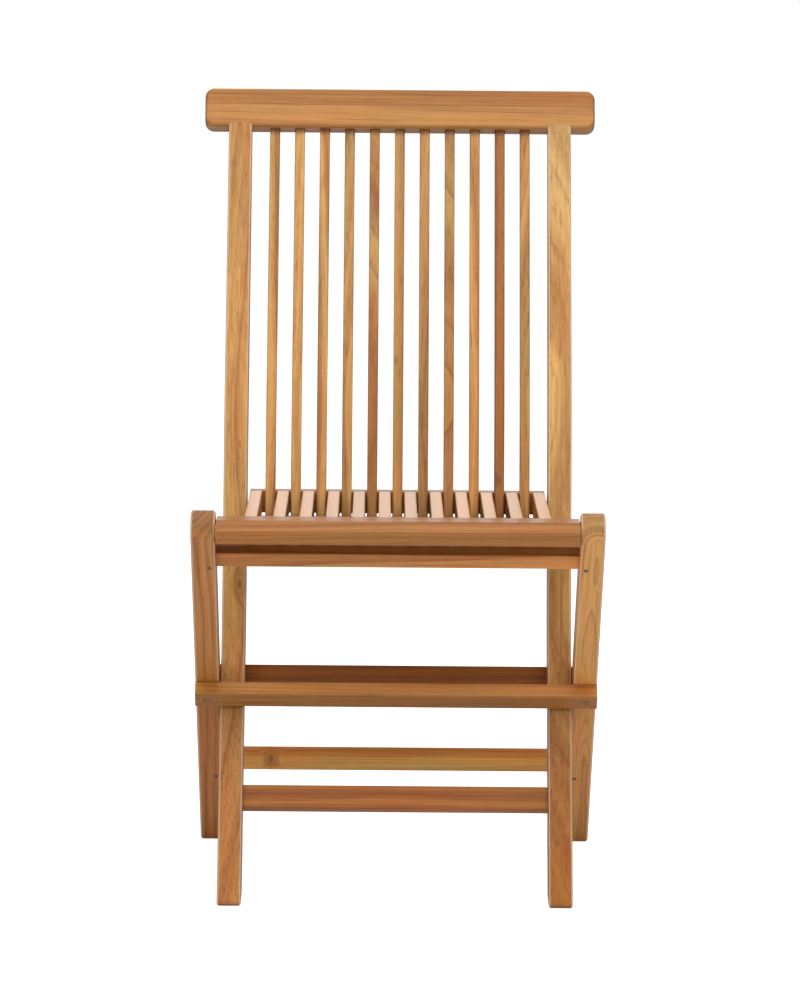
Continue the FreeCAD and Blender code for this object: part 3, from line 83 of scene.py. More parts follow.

# Range of the seat slats' tones and the seed that deals them out, and the tone of the painted shade on the
# slats' sides: dark in the slots where the back slats pass, and less so on the two outer slats
SEAT_SLAT_TONES = (1.2, 1.4)
SEAT_SEED = 7
SEAT_SLOT_SHADE = 0.24
SEAT_OUTER_SHADE = 0.7

# Each glue line: its height above the board's middle, and the tone of the wood above it
TOP_RAIL_SEAM = (3.2 * MM, 0.93)
REAR_STRETCHER_SEAM = (1.5 * MM, 1.12)

# Each knot: its place in the chair's frame and its radius, in metres
STILE_KNOTS = (((-0.1856, -0.0086, 0.3408), 0.0042), ((-0.1974, 0.1957, 0.8153), 0.0018))
SLAT_KNOTS = {"back_slat_06": (((-0.0029, 0.0918, 0.5938), 0.0014),),
              "back_slat_10": (((0.1214, 0.0384, 0.4594), 0.0018),)}
STRETCHER_KNOTS = (((-0.1485, 0.041, 0.1171), 0.0042),)

# Steps of each noise in a metre: across the grain both ways, and along it
SWAY = (8, 8, 2.4)
PATCHES = (16, 16, 4)
STREAKS = (330, 330, 4)
THIN_LINES = (520, 520, 5.5)
FIBRES = (1400, 1400, 22)
PORES = (2300, 2300, 55)

# How far the growth rings sway, how sharp their dark edges are, and the share of dark wood in plain wood
SWAY_WIDTH = 0.02
RING_SHARPNESS = 5.0
DARK_SHARE = 0.42

# How far fibres and pores change the roughness, and how strong and deep the wood's relief is
FIBRE_ROUGHNESS = 0.14
PORE_ROUGHNESS = 0.12
WOOD_RELIEF = 0.12
WOOD_RELIEF_DEPTH = 0.3 * MM

# Most that a board's grain is out of line with its piece, in radians, and length of the tree it comes from
GRAIN_TILT = 0.018
TREE_LENGTH = 5

# A glued board: how gradually the second board starts, half the width of the glue line, and the steps of
# the second board's stripes in a metre
SEAM_BLUR = 0.3 * MM
GLUE_WIDTH = 0.55 * MM
STRIPES = 620.0

# Brass: the steps of its tarnish and of its scratches in a metre, and its relief
TARNISH_CLOUDS = (260, 260, 260)
SCRATCHES = (4000, 600, 600)
BRASS_RELIEF = 0.15
BRASS_RELIEF_DEPTH = 0.05 * MM

# Steps of a bar's rounded edges, the short flat run between each edge and the face beside it, and the angle
# past which an edge looks sharp
ARC_STEPS = 5
FLAT_RUN = 0.4 * MM
SHARP_ANGLE = math.radians(40)

# The studio: height in pixels of the picture that the focal length is given for, height of the sensor in
# millimetres, reach of the view and of the floor, and each soft box's size, its place and where it faces
PHOTO_HEIGHT = 1000
SENSOR_HEIGHT = 24
VIEW_REACH = 200
FLOOR_REACH = 40.0
OVERHEAD_BOX = ((3.2, 2.4), (0, -0.9, 3.3), (0, -0.1, 0.4))
FILL_BOX = ((3.0, 1.6), (0, -3.2, 1.9), (0, 0, 0.4))


def linear(red, green, blue):
    """Scene-linear colour of a screen colour given in steps of 0 to 255."""
    return tuple(((value / 255 + 0.055) / 1.055) ** 2.4 for value in (red, green, blue))


def lean_of(node):
    """Lean of a straight member in degrees, back from the vertical, from the spread of its mesh."""
    mesh = NODES[node].data
    points = np.empty(len(mesh.vertices) * 3, np.float32)
    mesh.vertices.foreach_get("co", points)
    side = points.reshape(-1, 3)[:, 1:] - points.reshape(-1, 3)[:, 1:].mean(0)
    spreads, directions = np.linalg.eigh(side.T @ side)
    rear, up = directions[:, np.argmax(spreads)]
    return math.degrees(math.atan2(rear * np.sign(up), abs(up)))


LEG_LEAN = lean_of("leg_left")
SEAT_LEAN = lean_of("seat_slat_06")


class TeakSettings(bpy.types.PropertyGroup):
    """Tones and figure of the teak."""

    early: FloatVectorProperty(
        name="Light Wood", description="Colour of the pale part of a growth ring", subtype="COLOR",
        size=3, min=0, max=1, default=linear(209, 151, 83))
    late: FloatVectorProperty(
        name="Dark Wood", description="Colour of the dark part of a growth ring", subtype="COLOR",
        size=3, min=0, max=1, default=linear(156, 96, 43))
    # Colour of the painted sheen on the seat's tops and of the painted highlights on rounded edges.
    bleached: FloatVectorProperty(
        name="Bleached Wood", description="Colour of the wood gone pale on the seat and on worn edges",
        subtype="COLOR", size=3, min=0, max=1, default=linear(232, 202, 178))
    glue_line: FloatVectorProperty(
        name="Glue Line", description="Colour of the line between two boards glued together",
        subtype="COLOR", size=3, min=0, max=1, default=linear(150, 98, 52))
    knot_ring: FloatVectorProperty(
        name="Knot Ring", description="Colour of the ring round a knot", subtype="COLOR",
        size=3, min=0, max=1, default=linear(128, 80, 38))
    knot_eye: FloatVectorProperty(
        name="Knot Eye", description="Colour of the middle of a knot", subtype="COLOR",
        size=3, min=0, max=1, default=linear(96, 56, 26))
    end_tint: FloatVectorProperty(
        name="End Grain", description="Tint of end grain against the long faces", subtype="COLOR",
        size=3, min=0, max=1, default=(0.54, 0.6, 0.72))
    ring_width: FloatProperty(
        name="Ring Width", description="Width of a growth ring", subtype="DISTANCE", unit="LENGTH",
        min=0.001, max=0.05, default=0.0042)
    pith_distance: FloatProperty(
        name="Pith Distance", description="How far from the tree's middle the boards were sawn",
        subtype="DISTANCE", unit="LENGTH", min=0.02, max=1, default=0.16)
    roughness: FloatProperty(
        name="Roughness", description="Roughness of the sanded surface", subtype="FACTOR",
        min=0, max=1, default=0.36)


class StretcherSettings(bpy.types.PropertyGroup):
    """Section of the low stretcher between the stiles and of its tenons."""

    height: FloatProperty(
        name="Height", description="Stretcher's height along the stiles", subtype="DISTANCE",
        unit="LENGTH", min=0.01, max=0.1, default=28 * MM)
    depth: FloatProperty(
        name="Depth", description="Stretcher's depth across the stiles", subtype="DISTANCE",
        unit="LENGTH", min=0.005, max=0.1, default=16 * MM)
    edge: FloatProperty(
        name="Edge", description="Radius of its rounded edges", subtype="DISTANCE", unit="LENGTH",
        min=0.0001, max=0.01, default=1.3 * MM)
    tenon_height: FloatProperty(
        name="Tenon Height", description="Height of its tenons", subtype="DISTANCE", unit="LENGTH",
        min=0.005, max=0.1, default=25 * MM)
    tenon_depth: FloatProperty(
        name="Tenon Depth", description="Depth of its tenons", subtype="DISTANCE", unit="LENGTH",
        min=0.002, max=0.1, default=12 * MM)
    tenon_length: FloatProperty(
        name="Tenon Length", description="Length of its tenons", subtype="DISTANCE", unit="LENGTH",
        min=0.002, max=0.1, default=16 * MM)
    top: FloatProperty(
        name="Top", description="Its top above the middle of its tenons", subtype="DISTANCE",
        unit="LENGTH", min=0, max=0.1, default=17.6 * MM)
    front: FloatProperty(
        name="Front", description="Its front ahead of the middle of its tenons", subtype="DISTANCE",
        unit="LENGTH", min=0, max=0.1, default=10 * MM)


class BrassSettings(bpy.types.PropertyGroup):
    """Colours of the bolts, pins and screws."""

    colour: FloatVectorProperty(
        name="Brass", description="Colour of the metal", subtype="COLOR", size=3, min=0, max=1,
        default=linear(196, 160, 96))
    tarnish: FloatVectorProperty(
        name="Tarnish", description="Colour of the dulled metal", subtype="COLOR", size=3, min=0, max=1,
        default=linear(120, 88, 48))


class StageSettings(bpy.types.PropertyGroup):
    """Camera, floor and light."""

    focal_pixels: FloatProperty(
        name="Focal Length", description="Focal length in pixels of a picture 1000 pixels high",
        min=500, max=20000, default=5200)
    distance: FloatProperty(
        name="Distance", description="Camera to the middle of the chair", subtype="DISTANCE",
        unit="LENGTH", min=1, max=30, default=6.07)
    pitch: FloatProperty(
        name="Pitch", description="How far the camera looks down", subtype="ANGLE", unit="ROTATION",
        min=0, max=1.5, default=math.radians(10.58))
    turn: FloatProperty(
        name="Turn", description="How far the camera stands to the chair's side", subtype="ANGLE",
        unit="ROTATION", min=-1, max=1, default=math.radians(0.25))
    roll: FloatProperty(
        name="Roll", description="Roll of the camera", subtype="ANGLE", unit="ROTATION",
        min=-0.1, max=0.1, default=math.radians(0.5))
    target_height: FloatProperty(
        name="Target Height", description="Height that the camera looks at", subtype="DISTANCE",
        unit="LENGTH", min=0, max=2, default=0.4518)
    target_ahead: FloatProperty(
        name="Target Ahead", description="How far in front of the crossing bolts the camera looks",
        subtype="DISTANCE", unit="LENGTH", min=-1, max=1, default=0.012)
    target_side: FloatProperty(
        name="Target Side", description="How far to the right of the chair's middle the camera looks",
        subtype="DISTANCE", unit="LENGTH", min=-0.1, max=0.1, default=0.0027)
    floor: FloatVectorProperty(
        name="Floor", description="Colour of the floor", subtype="COLOR", size=3, min=0, max=1,
        default=(0.85, 0.85, 0.85))
    floor_glow: FloatProperty(
        name="Floor Glow", description="How far the floor is lit up for the camera, which pales the shadows",
        min=0, max=2, default=0.82)
    ambient: FloatProperty(
        name="Ambient", description="Light from all around", min=0, max=5, default=0.25)
    overhead: FloatProperty(
        name="Overhead", description="Soft box above and in front", subtype="POWER", unit="POWER",
        min=0, max=500, default=88)
    fill: FloatProperty(
        name="Fill", description="Soft box in front", subtype="POWER", unit="POWER",
        min=0, max=500, default=26)


class Nodes:
    """Short forms for adding shader nodes to one tree."""

    def __init__(self, tree):
        self.tree = tree

    def add(self, kind, inputs=None, **settings):
        """A node with its settings, and its inputs linked to sockets or set to values."""
        node = self.tree.nodes.new(kind)
        for name, value in settings.items():
            setattr(node, name, value)
        for name, value in (inputs or {}).items():
            if isinstance(value, bpy.types.NodeSocket):
                self.tree.links.new(value, node.inputs[name])
            else:
                node.inputs[name].default_value = value
        return node

    def math(self, operation, first, second=0.0, clamp=False):
        """Result of one sum on two sockets or numbers."""
        return self.add("ShaderNodeMath", {0: first, 1: second}, operation=operation,
                        use_clamp=clamp).outputs[0]

    def vector(self, operation, first, second=(0.0, 0.0, 0.0)):
        """Result of one sum on two vectors: a number for a length or a dot product."""
        node = self.add("ShaderNodeVectorMath", {0: first, 1: second}, operation=operation)
        return node.outputs[1 if operation in ("LENGTH", "DOT_PRODUCT") else 0]

    def parts(self, vector):
        """The three parts of a vector."""
        return self.add("ShaderNodeSeparateXYZ", {0: vector}).outputs

    def noise(self, vector, scale, detail=2.0, roughness=0.5):
        """Noise with its own scale each way; its first output is a value and its second a colour."""
        stretched = self.vector("MULTIPLY", vector, scale)
        return self.add("ShaderNodeTexNoise", {"Vector": stretched, "Scale": 1.0, "Detail": detail,
                                               "Roughness": roughness}).outputs

    def ramp(self, value, low, high, to_low=0.0, to_high=1.0, smooth=True):
        """A value spread from one range onto another."""
        return self.add("ShaderNodeMapRange", {"Value": value, "From Min": low, "From Max": high,
                                               "To Min": to_low, "To Max": to_high},
                        interpolation_type="SMOOTHSTEP" if smooth else "LINEAR").outputs[0]

    def mix(self, factor, first, second, blend="MIX"):
        """Two colours mixed."""
        return self.add("ShaderNodeMix", {0: factor, 6: first, 7: second}, data_type="RGBA",
                        blend_type=blend).outputs[2]

    def times(self, colour, factors):
        """A colour multiplied by another one, part by part."""
        return self.mix(1.0, colour, factors, blend="MULTIPLY")

    def grey(self, value):
        """A colour with the same value in all its parts."""
        return self.add("ShaderNodeCombineXYZ", {0: value, 1: value, 2: value}).outputs[0]


def fresh_nodes(owner):
    """Nodes of a new material or world, emptied."""
    owner.use_nodes = True
    owner.node_tree.nodes.clear()
    return Nodes(owner.node_tree)


def opaque(colour):
    """A colour with full alpha."""
    return (*colour, 1.0)


WHITE = opaque((1, 1, 1))


def surface(nodes, colour, rough, height, relief, depth, sockets):
    """End of a material: its colour, its roughness, the relief that a height gives it and fixed sockets."""
    bump = nodes.add("ShaderNodeBump", {"Height": height, "Strength": relief, "Distance": depth})
    shader = nodes.add("ShaderNodeBsdfPrincipled", {
        "Base Color": colour, "Roughness": rough, "Normal": bump.outputs[0], **sockets})
    nodes.add("ShaderNodeOutputMaterial", {"Surface": shader.outputs[0]})


def ring_figure(nodes, place, push, ring_width):
    """Dark edges of the growth rings, and broad bands of darker and paler rings.

    Ring number = (distance from the pith + the push of the knots) / ring width. Its part after the whole
    number, to a high power, is a ring's dark edge, and its whole number picks how strong that edge is.
    """
    sway = nodes.vector("SUBTRACT", nodes.noise(place, SWAY)[1], (0.5, 0.5, 0.5))
    sway = nodes.vector("MULTIPLY", sway, (SWAY_WIDTH, SWAY_WIDTH, 0))
    across = nodes.vector("MULTIPLY", nodes.vector("ADD", sway, place), (1, 1, 0))
    from_pith = nodes.vector("LENGTH", across)
    ring = nodes.math("DIVIDE", nodes.math("ADD", from_pith, push), ring_width)
    edge = nodes.math("POWER", nodes.math("FRACT", ring), RING_SHARPNESS)
    strength = nodes.add("ShaderNodeTexWhiteNoise", {"W": nodes.math("FLOOR", ring)},
                         noise_dimensions="1D").outputs[0]
    bands = nodes.add("ShaderNodeTexNoise", {"W": ring, "Scale": 0.22, "Detail": 2.0, "Roughness": 0.6},
                      noise_dimensions="1D").outputs[0]
    return nodes.math("ADD", nodes.ramp(bands, 0.3, 0.7, -0.5, 0.5),
                      nodes.math("MULTIPLY", edge, nodes.math("MULTIPLY", strength, 0.9)))


def dark_lines(nodes, place, streak):
    """Streaks along the grain about their mean, and thin dark lines on top of them."""
    thin = nodes.ramp(nodes.noise(place, THIN_LINES, detail=1)[0], 0.6, 0.74)
    return nodes.math("ADD", nodes.math("SUBTRACT", streak, 0.5), nodes.math("MULTIPLY", thin, 0.42))


def patch_tint(nodes, place):
    """Factors of wide patches, some cooler and some warmer than the rest."""
    warm = nodes.ramp(nodes.noise(place, PATCHES)[0], 0.35, 0.65)
    return nodes.mix(warm, opaque((0.93, 1.0, 0.98)), opaque((1.07, 0.99, 0.95)))


def fibre_shade(nodes, fibre, pore):
    """Grey factors of the fibres, and of the pores between them."""
    return nodes.grey(nodes.math("MULTIPLY", nodes.ramp(fibre, 0.2, 0.8, 0.94, 1.06, smooth=False),
                                 nodes.ramp(pore, 0, 1, 1.0, 0.8, smooth=False)))


def end_grain(nodes, facing, tint):
    """Factors of the end grain: its tint where a face looks along the grain."""
    along = nodes.math("ABSOLUTE", nodes.parts(facing)[2])
    return nodes.mix(nodes.ramp(along, 0.5, 0.95), WHITE, opaque(tint))


def teak_group(settings):
    """Wood as a solid with its grain along Z and the pith on that axis.

    Dark wood's share = its usual share + figure (rings and bands) + lines (streaks and thin lines). The
    colour so mixed is multiplied by the factors of the patches, of the fibres and of the end grain.
    """
    group = bpy.data.node_groups.new("teak_figure", "ShaderNodeTree")
    for name, kind in (("Place", "Vector"), ("Facing", "Vector"), ("Push", "Float"),
                       ("Light Wood", "Color"), ("Dark Wood", "Color"), ("Figure", "Float"),
                       ("Lines", "Float"), ("Ring Width", "Float")):
        group.interface.new_socket(name=name, in_out="INPUT", socket_type=f"NodeSocket{kind}")
    for name, kind in (("Colour", "Color"), ("Roughness", "Float"), ("Height", "Float")):
        group.interface.new_socket(name=name, in_out="OUTPUT", socket_type=f"NodeSocket{kind}")
    nodes = Nodes(group)
    given = nodes.add("NodeGroupInput").outputs
    place = given["Place"]
    streak = nodes.noise(place, STREAKS, detail=2.5, roughness=0.6)[0]
    fibre = nodes.noise(place, FIBRES, detail=1)[0]
    pore = nodes.ramp(nodes.noise(place, PORES, detail=0)[0], 0.66, 0.76)
    rings = ring_figure(nodes, place, given["Push"], given["Ring Width"])
    figure = nodes.math("MULTIPLY", rings, given["Figure"])
    lines = nodes.math("MULTIPLY", dark_lines(nodes, place, streak), given["Lines"])
    dark = nodes.math("ADD", nodes.math("ADD", figure, lines), DARK_SHARE, clamp=True)
    colour = nodes.mix(dark, given["Light Wood"], given["Dark Wood"])
    for factors in (patch_tint(nodes, place), fibre_shade(nodes, fibre, pore),
                    end_grain(nodes, given["Facing"], settings.end_tint)):
        colour = nodes.times(colour, factors)
    smooth = settings.roughness - FIBRE_ROUGHNESS / 2
    rough = nodes.math("ADD", smooth, nodes.math("MULTIPLY", fibre, FIBRE_ROUGHNESS))
    rough = nodes.math("ADD", rough, nodes.math("MULTIPLY", pore, PORE_ROUGHNESS))
    height = nodes.math("ADD", nodes.math("MULTIPLY", fibre, 0.5), nodes.math("MULTIPLY", streak, 0.5))
    height = nodes.math("SUBTRACT", height, nodes.math("MULTIPLY", pore, 0.8))
    nodes.add("NodeGroupOutput", {"Colour": colour, "Roughness": rough, "Height": height})
    return group


def grain_turn(run, lean):
    """Turn that brings a member's grain onto Z: run is the way it lies, lean its angle from the vertical."""
    across = math.radians(-90) if run == "across" else 0.0
    return (math.radians(lean), across, 0.0)


def board_place(nodes, name, local, turn, pith):
    """A piece's place in the tree, from its place about its own middle.

    The board's distance and angle from the pith, its tilt and its height in the tree are drawn by lot, with
    the piece's name as the seed. A pith that is given takes the place of the first two.
    """
    draw = np.random.default_rng(sum((index + 3) * ord(letter) for index, letter in enumerate(name)))
    distance = bpy.context.scene.chair_teak.pith_distance * draw.uniform(0.5, 1.5)
    angle = draw.uniform(0, 2 * math.pi)
    if pith is not None:
        distance, angle = pith[0], math.radians(pith[1])
    tilt = draw.uniform(-GRAIN_TILT, GRAIN_TILT, 2)
    board = (distance * math.cos(angle), distance * math.sin(angle), draw.uniform(0, TREE_LENGTH))
    turned = nodes.add("ShaderNodeMapping", {"Vector": local, "Rotation": turn, "Location": board})
    return nodes.add("ShaderNodeMapping", {"Vector": turned.outputs[0], "Rotation": (*tilt, 0.0)}).outputs[0]


def tinted(tone, warmth):
    """Colour factors of a brighter or darker and a redder or paler wood."""
    return np.array([1 + warmth, 1, 1 - warmth]) * tone


def partly_tinted(nodes, colour, share, tint):
    """A colour multiplied, as far as a share says, by the factors of a tone and a warmth."""
    return nodes.times(colour, nodes.mix(share, WHITE, opaque(tinted(*tint))))


def teak(name, run, lean, tone=1.0, warmth=0.0, figure=0.7, lines=1.0, pith=None, rings=None, knots=(),
         foot=None, head=None, head_reach=STILE_HEAD_REACH, hidden_top=1.0, hidden_side=1.0, polish=0.0,
         seam=None, bleach=0.0, worn=False):
    """Teak for one piece: its own board, laid along the piece, with its own tone and knots.

    Tone multiplies the wood's brightness, and warmth moves it towards red or, below nought, towards pale.
    Figure and lines are the strengths of the rings and of the streaks. The pith is a distance and an angle
    about the grain where it isn't drawn by lot, and rings is the width of a ring where it isn't the usual
    one. Each knot is a place in the chair's frame with a radius. The foot's tone and warmth are painted
    shade, darker and redder towards the floor under the seat. Head is the tone and the warmth at the top, and
    head reach is the heights where the head's starts and is full; on the back slats the head is painted shade
    under the top rail. The tones given for the faces that look up and for the others are painted shade, for
    shade that falls on them. Polish is taken off the roughness. Seam is the height of a glue line above the
    board's middle and the tone of the wood above it. The sheen is how far a painted sheen, the white room
    reflected at a grazing angle, pales the faces that look up, and the edge highlights are pale painted
    highlights on the rounded edges along the sides.
    """
    settings = bpy.context.scene.chair_teak
    material = bpy.data.materials.new(f"teak_{name}")
    nodes = fresh_nodes(material)
    where = nodes.add("ShaderNodeTexCoord").outputs
    local = nodes.vector("SUBTRACT", where["Object"], tuple(middle_of(name)))
    turn = grain_turn(run, lean)
    facing = nodes.add("ShaderNodeMapping", {"Vector": where["Normal"], "Rotation": turn},
                       vector_type="NORMAL").outputs[0]
    reaches = [(knot_reach(nodes, where["Object"], centre, radius, turn), radius) for centre, radius in knots]
    light, dark = (opaque(np.clip(np.array(colour[:]) * tinted(tone, warmth), 0, 0.95))
                   for colour in (settings.early, settings.late))
    wood = nodes.add("ShaderNodeGroup", {
        "Place": board_place(nodes, name, local, turn, pith), "Facing": facing,
        "Push": knot_push(nodes, reaches), "Light Wood": light, "Dark Wood": dark,
        "Figure": figure, "Lines": lines, "Ring Width": rings or settings.ring_width,
    }, node_tree=bpy.data.node_groups.get("teak_figure") or teak_group(settings)).outputs
    colour = wood["Colour"]
    height = nodes.parts(where["Object"])[2]
    sideways, _, upward = nodes.parts(where["Normal"])
    # Painted shade under the seat: darker and redder towards the floor.
    if foot is not None:
        colour = partly_tinted(nodes, colour, nodes.ramp(height, 0.0, FOOT_REACH, 1.0, 0.0), foot)
    # Tone at the top: on the back slats this is painted shade where they go into the top rail.
    if head is not None:
        colour = partly_tinted(nodes, colour, nodes.ramp(height, *head_reach), head)
    # Painted sheen: faces that look up are paled towards the sheen's colour, for the white room reflected at
    # a grazing angle.
    if bleach > 0.0:
        colour = nodes.mix(nodes.ramp(upward, 0.3, 0.8, 0.0, bleach), colour, opaque(settings.bleached))
    # Painted shade: a darker tone on the faces that look up and on the others, for shade that falls on them.
    if min(hidden_top, hidden_side) < 1.0:
        colour = nodes.times(colour, nodes.grey(nodes.ramp(upward, 0.2, 0.6, hidden_side, hidden_top)))
    if seam is not None:
        colour = glued(nodes, colour, local, lean, *seam)
    # Painted highlights: pale colour on the rounded edges along the sides.
    if worn:
        colour = nodes.mix(worn_edges(nodes, sideways), colour, opaque(settings.bleached))
    for reach, _ in reaches:
        colour = knot(nodes, colour, reach)
    rough = nodes.math("SUBTRACT", wood["Roughness"], polish)
    relief = WOOD_RELIEF * min(lines, 1.0)
    surface(nodes, colour, rough, wood["Height"], relief, WOOD_RELIEF_DEPTH, {"IOR": 1.5})
    return material


def glued(nodes, colour, local, lean, seam, tone):
    """A board glued up of two: above the seam close stripes and its own tone, and a thin line at the seam."""
    up = (0.0, math.sin(math.radians(lean)), math.cos(math.radians(lean)))
    height = nodes.vector("DOT_PRODUCT", local, up)
    above = nodes.ramp(height, seam - SEAM_BLUR, seam + SEAM_BLUR)
    place = nodes.add("ShaderNodeCombineXYZ", {0: nodes.math("MULTIPLY", height, STRIPES)}).outputs[0]
    place = nodes.vector("ADD", place, nodes.vector("MULTIPLY", local, (0.7, 0.0, 0.0)))
    stripes = nodes.ramp(nodes.noise(place, (1, 1, 1), detail=1.5)[0], 0.36, 0.62)
    deep, clear = opaque((0.84 * tone, 0.6 * tone, 0.5 * tone)), opaque((tone, 1.02 * tone, 0.9 * tone))
    colour = nodes.mix(above, colour, nodes.times(colour, nodes.mix(stripes, deep, clear)))
    from_seam = nodes.math("ABSOLUTE", nodes.math("SUBTRACT", height, seam))
    line = nodes.ramp(from_seam, 0.0, GLUE_WIDTH, 0.7, 0.0)
    return nodes.mix(line, colour, opaque(bpy.context.scene.chair_teak.glue_line))


def worn_edges(nodes, sideways):
    """Share of painted highlight on a rounded edge between a front and a side face, from how far its normal
    points sideways.
    """
    turned = nodes.math("ABSOLUTE", sideways)
    return nodes.math("MULTIPLY", nodes.ramp(turned, 0.15, 0.5), nodes.ramp(turned, 0.75, 0.95, 0.6, 0.0))


def knot_reach(nodes, place, centre, radius, turn):
    """Distance from a knot in radii, counted at two fifths along the grain."""
    local = nodes.vector("SUBTRACT", place, centre)
    turned = nodes.add("ShaderNodeMapping", {"Vector": local, "Rotation": turn,
                                             "Scale": (1 / radius, 1 / radius, 0.4 / radius)})
    return nodes.vector("LENGTH", turned.outputs[0])


def knot_push(nodes, reaches):
    """How far the knots push the rings outwards: 2.4 radii at a knot's middle, and nothing 4.5 radii away."""
    push = 0.0
    for reach, radius in reaches:
        push = nodes.math("ADD", push, nodes.ramp(reach, 0.0, 4.5, 2.4 * radius, 0.0))
    return push


def knot(nodes, colour, reach):
    """A knot on top of a colour: a dark eye in a dark ring, from the distance to its middle in radii."""
    settings = bpy.context.scene.chair_teak
    ring = nodes.math("MULTIPLY", nodes.ramp(reach, 0.8, 1.3), nodes.ramp(reach, 1.4, 3.0, 0.35, 0.0))
    colour = nodes.mix(ring, colour, opaque(settings.knot_ring))
    return nodes.mix(nodes.ramp(reach, 0.5, 1.0, 0.6, 0.0), colour, opaque(settings.knot_eye))


def brass():
    """Dull brass: a metal whose colour and roughness drift with a slow noise, with fine scratches."""
    settings = bpy.context.scene.chair_brass
    material = bpy.data.materials.new("brass")
    nodes = fresh_nodes(material)
    where = nodes.add("ShaderNodeTexCoord").outputs["Object"]
    dull = nodes.ramp(nodes.noise(where, TARNISH_CLOUDS, detail=3)[0], 0.35, 0.7)
    scratch = nodes.noise(where, SCRATCHES, detail=1)[0]
    colour = nodes.mix(dull, opaque(settings.colour), opaque(settings.tarnish))
    rough = nodes.math("ADD", 0.3, nodes.math("MULTIPLY", dull, 0.2))
    surface(nodes, colour, rough, scratch, BRASS_RELIEF, BRASS_RELIEF_DEPTH, {"Metallic": 1.0})
    return material


def middle_of(node):
    """Middle of a CAD node's box."""
    low, high = (np.array(corner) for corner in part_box(node))
    return (low + high) / 2


def dress(node, material):
    """Give a CAD node its finish."""
    for slot in NODES[node].material_slots:
        slot.material = material


def dress_teak(node, run, lean, **look):
    """Give a CAD node a board of its own."""
    dress(node, teak(node, run, lean, **look))


def bar_outline(bottom, top, front, rear, radius):
    """Points round a bar's section, as heights and depths: four arcs, each between two short flat runs.

    Point k of the arc at corner c: centre c + radius (cos a, sin a), with a = 90 degrees (c + k / steps).
    The flat runs go on from the arc's ends in the directions (-sin a, cos a) that it has there.
    """
    loop = []
    for corner, (high, deep) in enumerate(((top, rear), (bottom, rear), (bottom, front), (top, front))):
        angles = np.linspace(0, math.pi / 2, ARC_STEPS + 1) + math.pi / 2 * corner
        inward = np.array([1 if high == bottom else -1, 1 if deep == front else -1])
        arc = np.array([high, deep]) + radius * (inward + np.stack([np.cos(angles), np.sin(angles)], 1))
        onward = FLAT_RUN * np.stack([-np.sin(angles), np.cos(angles)], 1)
        loop.append(np.vstack([arc[0] - onward[0], arc, arc[-1] + onward[-1]]))
    return np.vstack(loop)


def bar(name, sections, middle, lean):
    """A bar across the chair, skinned over sections given as (side, bottom, top, front, rear, radius).

    Point (i, j) = middle + (side i) X + (height j) U + (depth j) D, with U up the lean and D to its rear.
    """
    up = np.array([0, math.sin(math.radians(lean)), math.cos(math.radians(lean))])
    rear = np.array([0, math.cos(math.radians(lean)), -math.sin(math.radians(lean))])
    outlines = np.array([bar_outline(*section[1:]) for section in sections])
    sides = np.array([section[0] for section in sections])
    points = (middle + sides[:, None, None] * np.array([1, 0, 0]) + outlines[..., :1] * up
              + outlines[..., 1:] * rear)
    return skin(name, points)


def skin(name, points):
    """Mesh object over a grid of points that closes round each ring, with a flat face on each end.

    Face (i, j) has the corners (i, j), (i + 1, j), (i + 1, j + 1) and (i, j + 1), and looks outwards.
    """
    rings, around = points.shape[:2]
    index = np.arange(rings * around).reshape(rings, around)
    near, far = index[:-1], index[1:]
    quads = np.stack([near, far, np.roll(far, -1, 1), np.roll(near, -1, 1)], -1).reshape(-1, 4)
    faces = [*quads.tolist(), index[0].tolist(), index[-1][::-1].tolist()]
    mesh = bpy.data.meshes.new(name)
    mesh.from_pydata(points.reshape(-1, 3).tolist(), [], faces)
    mesh.shade_smooth()
    mesh.set_sharp_from_angle(angle=SHARP_ANGLE)
    mesh.update()
    piece = bpy.data.objects.new(name, mesh)
    bpy.context.scene.collection.objects.link(piece)
    return piece


def finish_piece(piece, node, body, material):
    """Put a new piece in the place of a CAD node, on its body and in its slot."""
    piece.data.materials.append(material)
    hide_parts(node)
    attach(piece, body)


class CHAIR_OT_stiles(bpy.types.Operator):
    """Finish the two bent back stiles"""

    bl_idname = "chair.stiles"
    bl_label = "Stiles"

    def execute(self, context):
        # Painted shade on each stile's foot, darker and redder towards the floor under the seat, and painted
        # highlights on the rounded side edges; each head has a tone of its own.
        dress_teak("stile_left", "up", BACK_LEAN, tone=1.26, warmth=-0.1, lines=1.2, foot=(0.62, 0.24),
                   head=(0.66, 0.12), knots=STILE_KNOTS, worn=True)
        dress_teak("stile_right", "up", BACK_LEAN, tone=1.42, warmth=-0.18, lines=1.2, foot=(0.34, 0.76),
                   head=(0.87, -0.12), worn=True)
        return {"FINISHED"}


class CHAIR_OT_legs(bpy.types.Operator):
    """Finish the two straight legs"""

    bl_idname = "chair.legs"
    bl_label = "Legs"

    def execute(self, context):
        # Pale painted highlights on the legs' rounded side edges.
        dress_teak("leg_left", "up", LEG_LEAN, tone=0.88, warmth=0.13, pith=(0.036, 90), rings=0.0014,
                   worn=True)
        dress_teak("leg_right", "up", LEG_LEAN, tone=1.42, pith=(0.04, 98), rings=0.0015, worn=True)
        return {"FINISHED"}


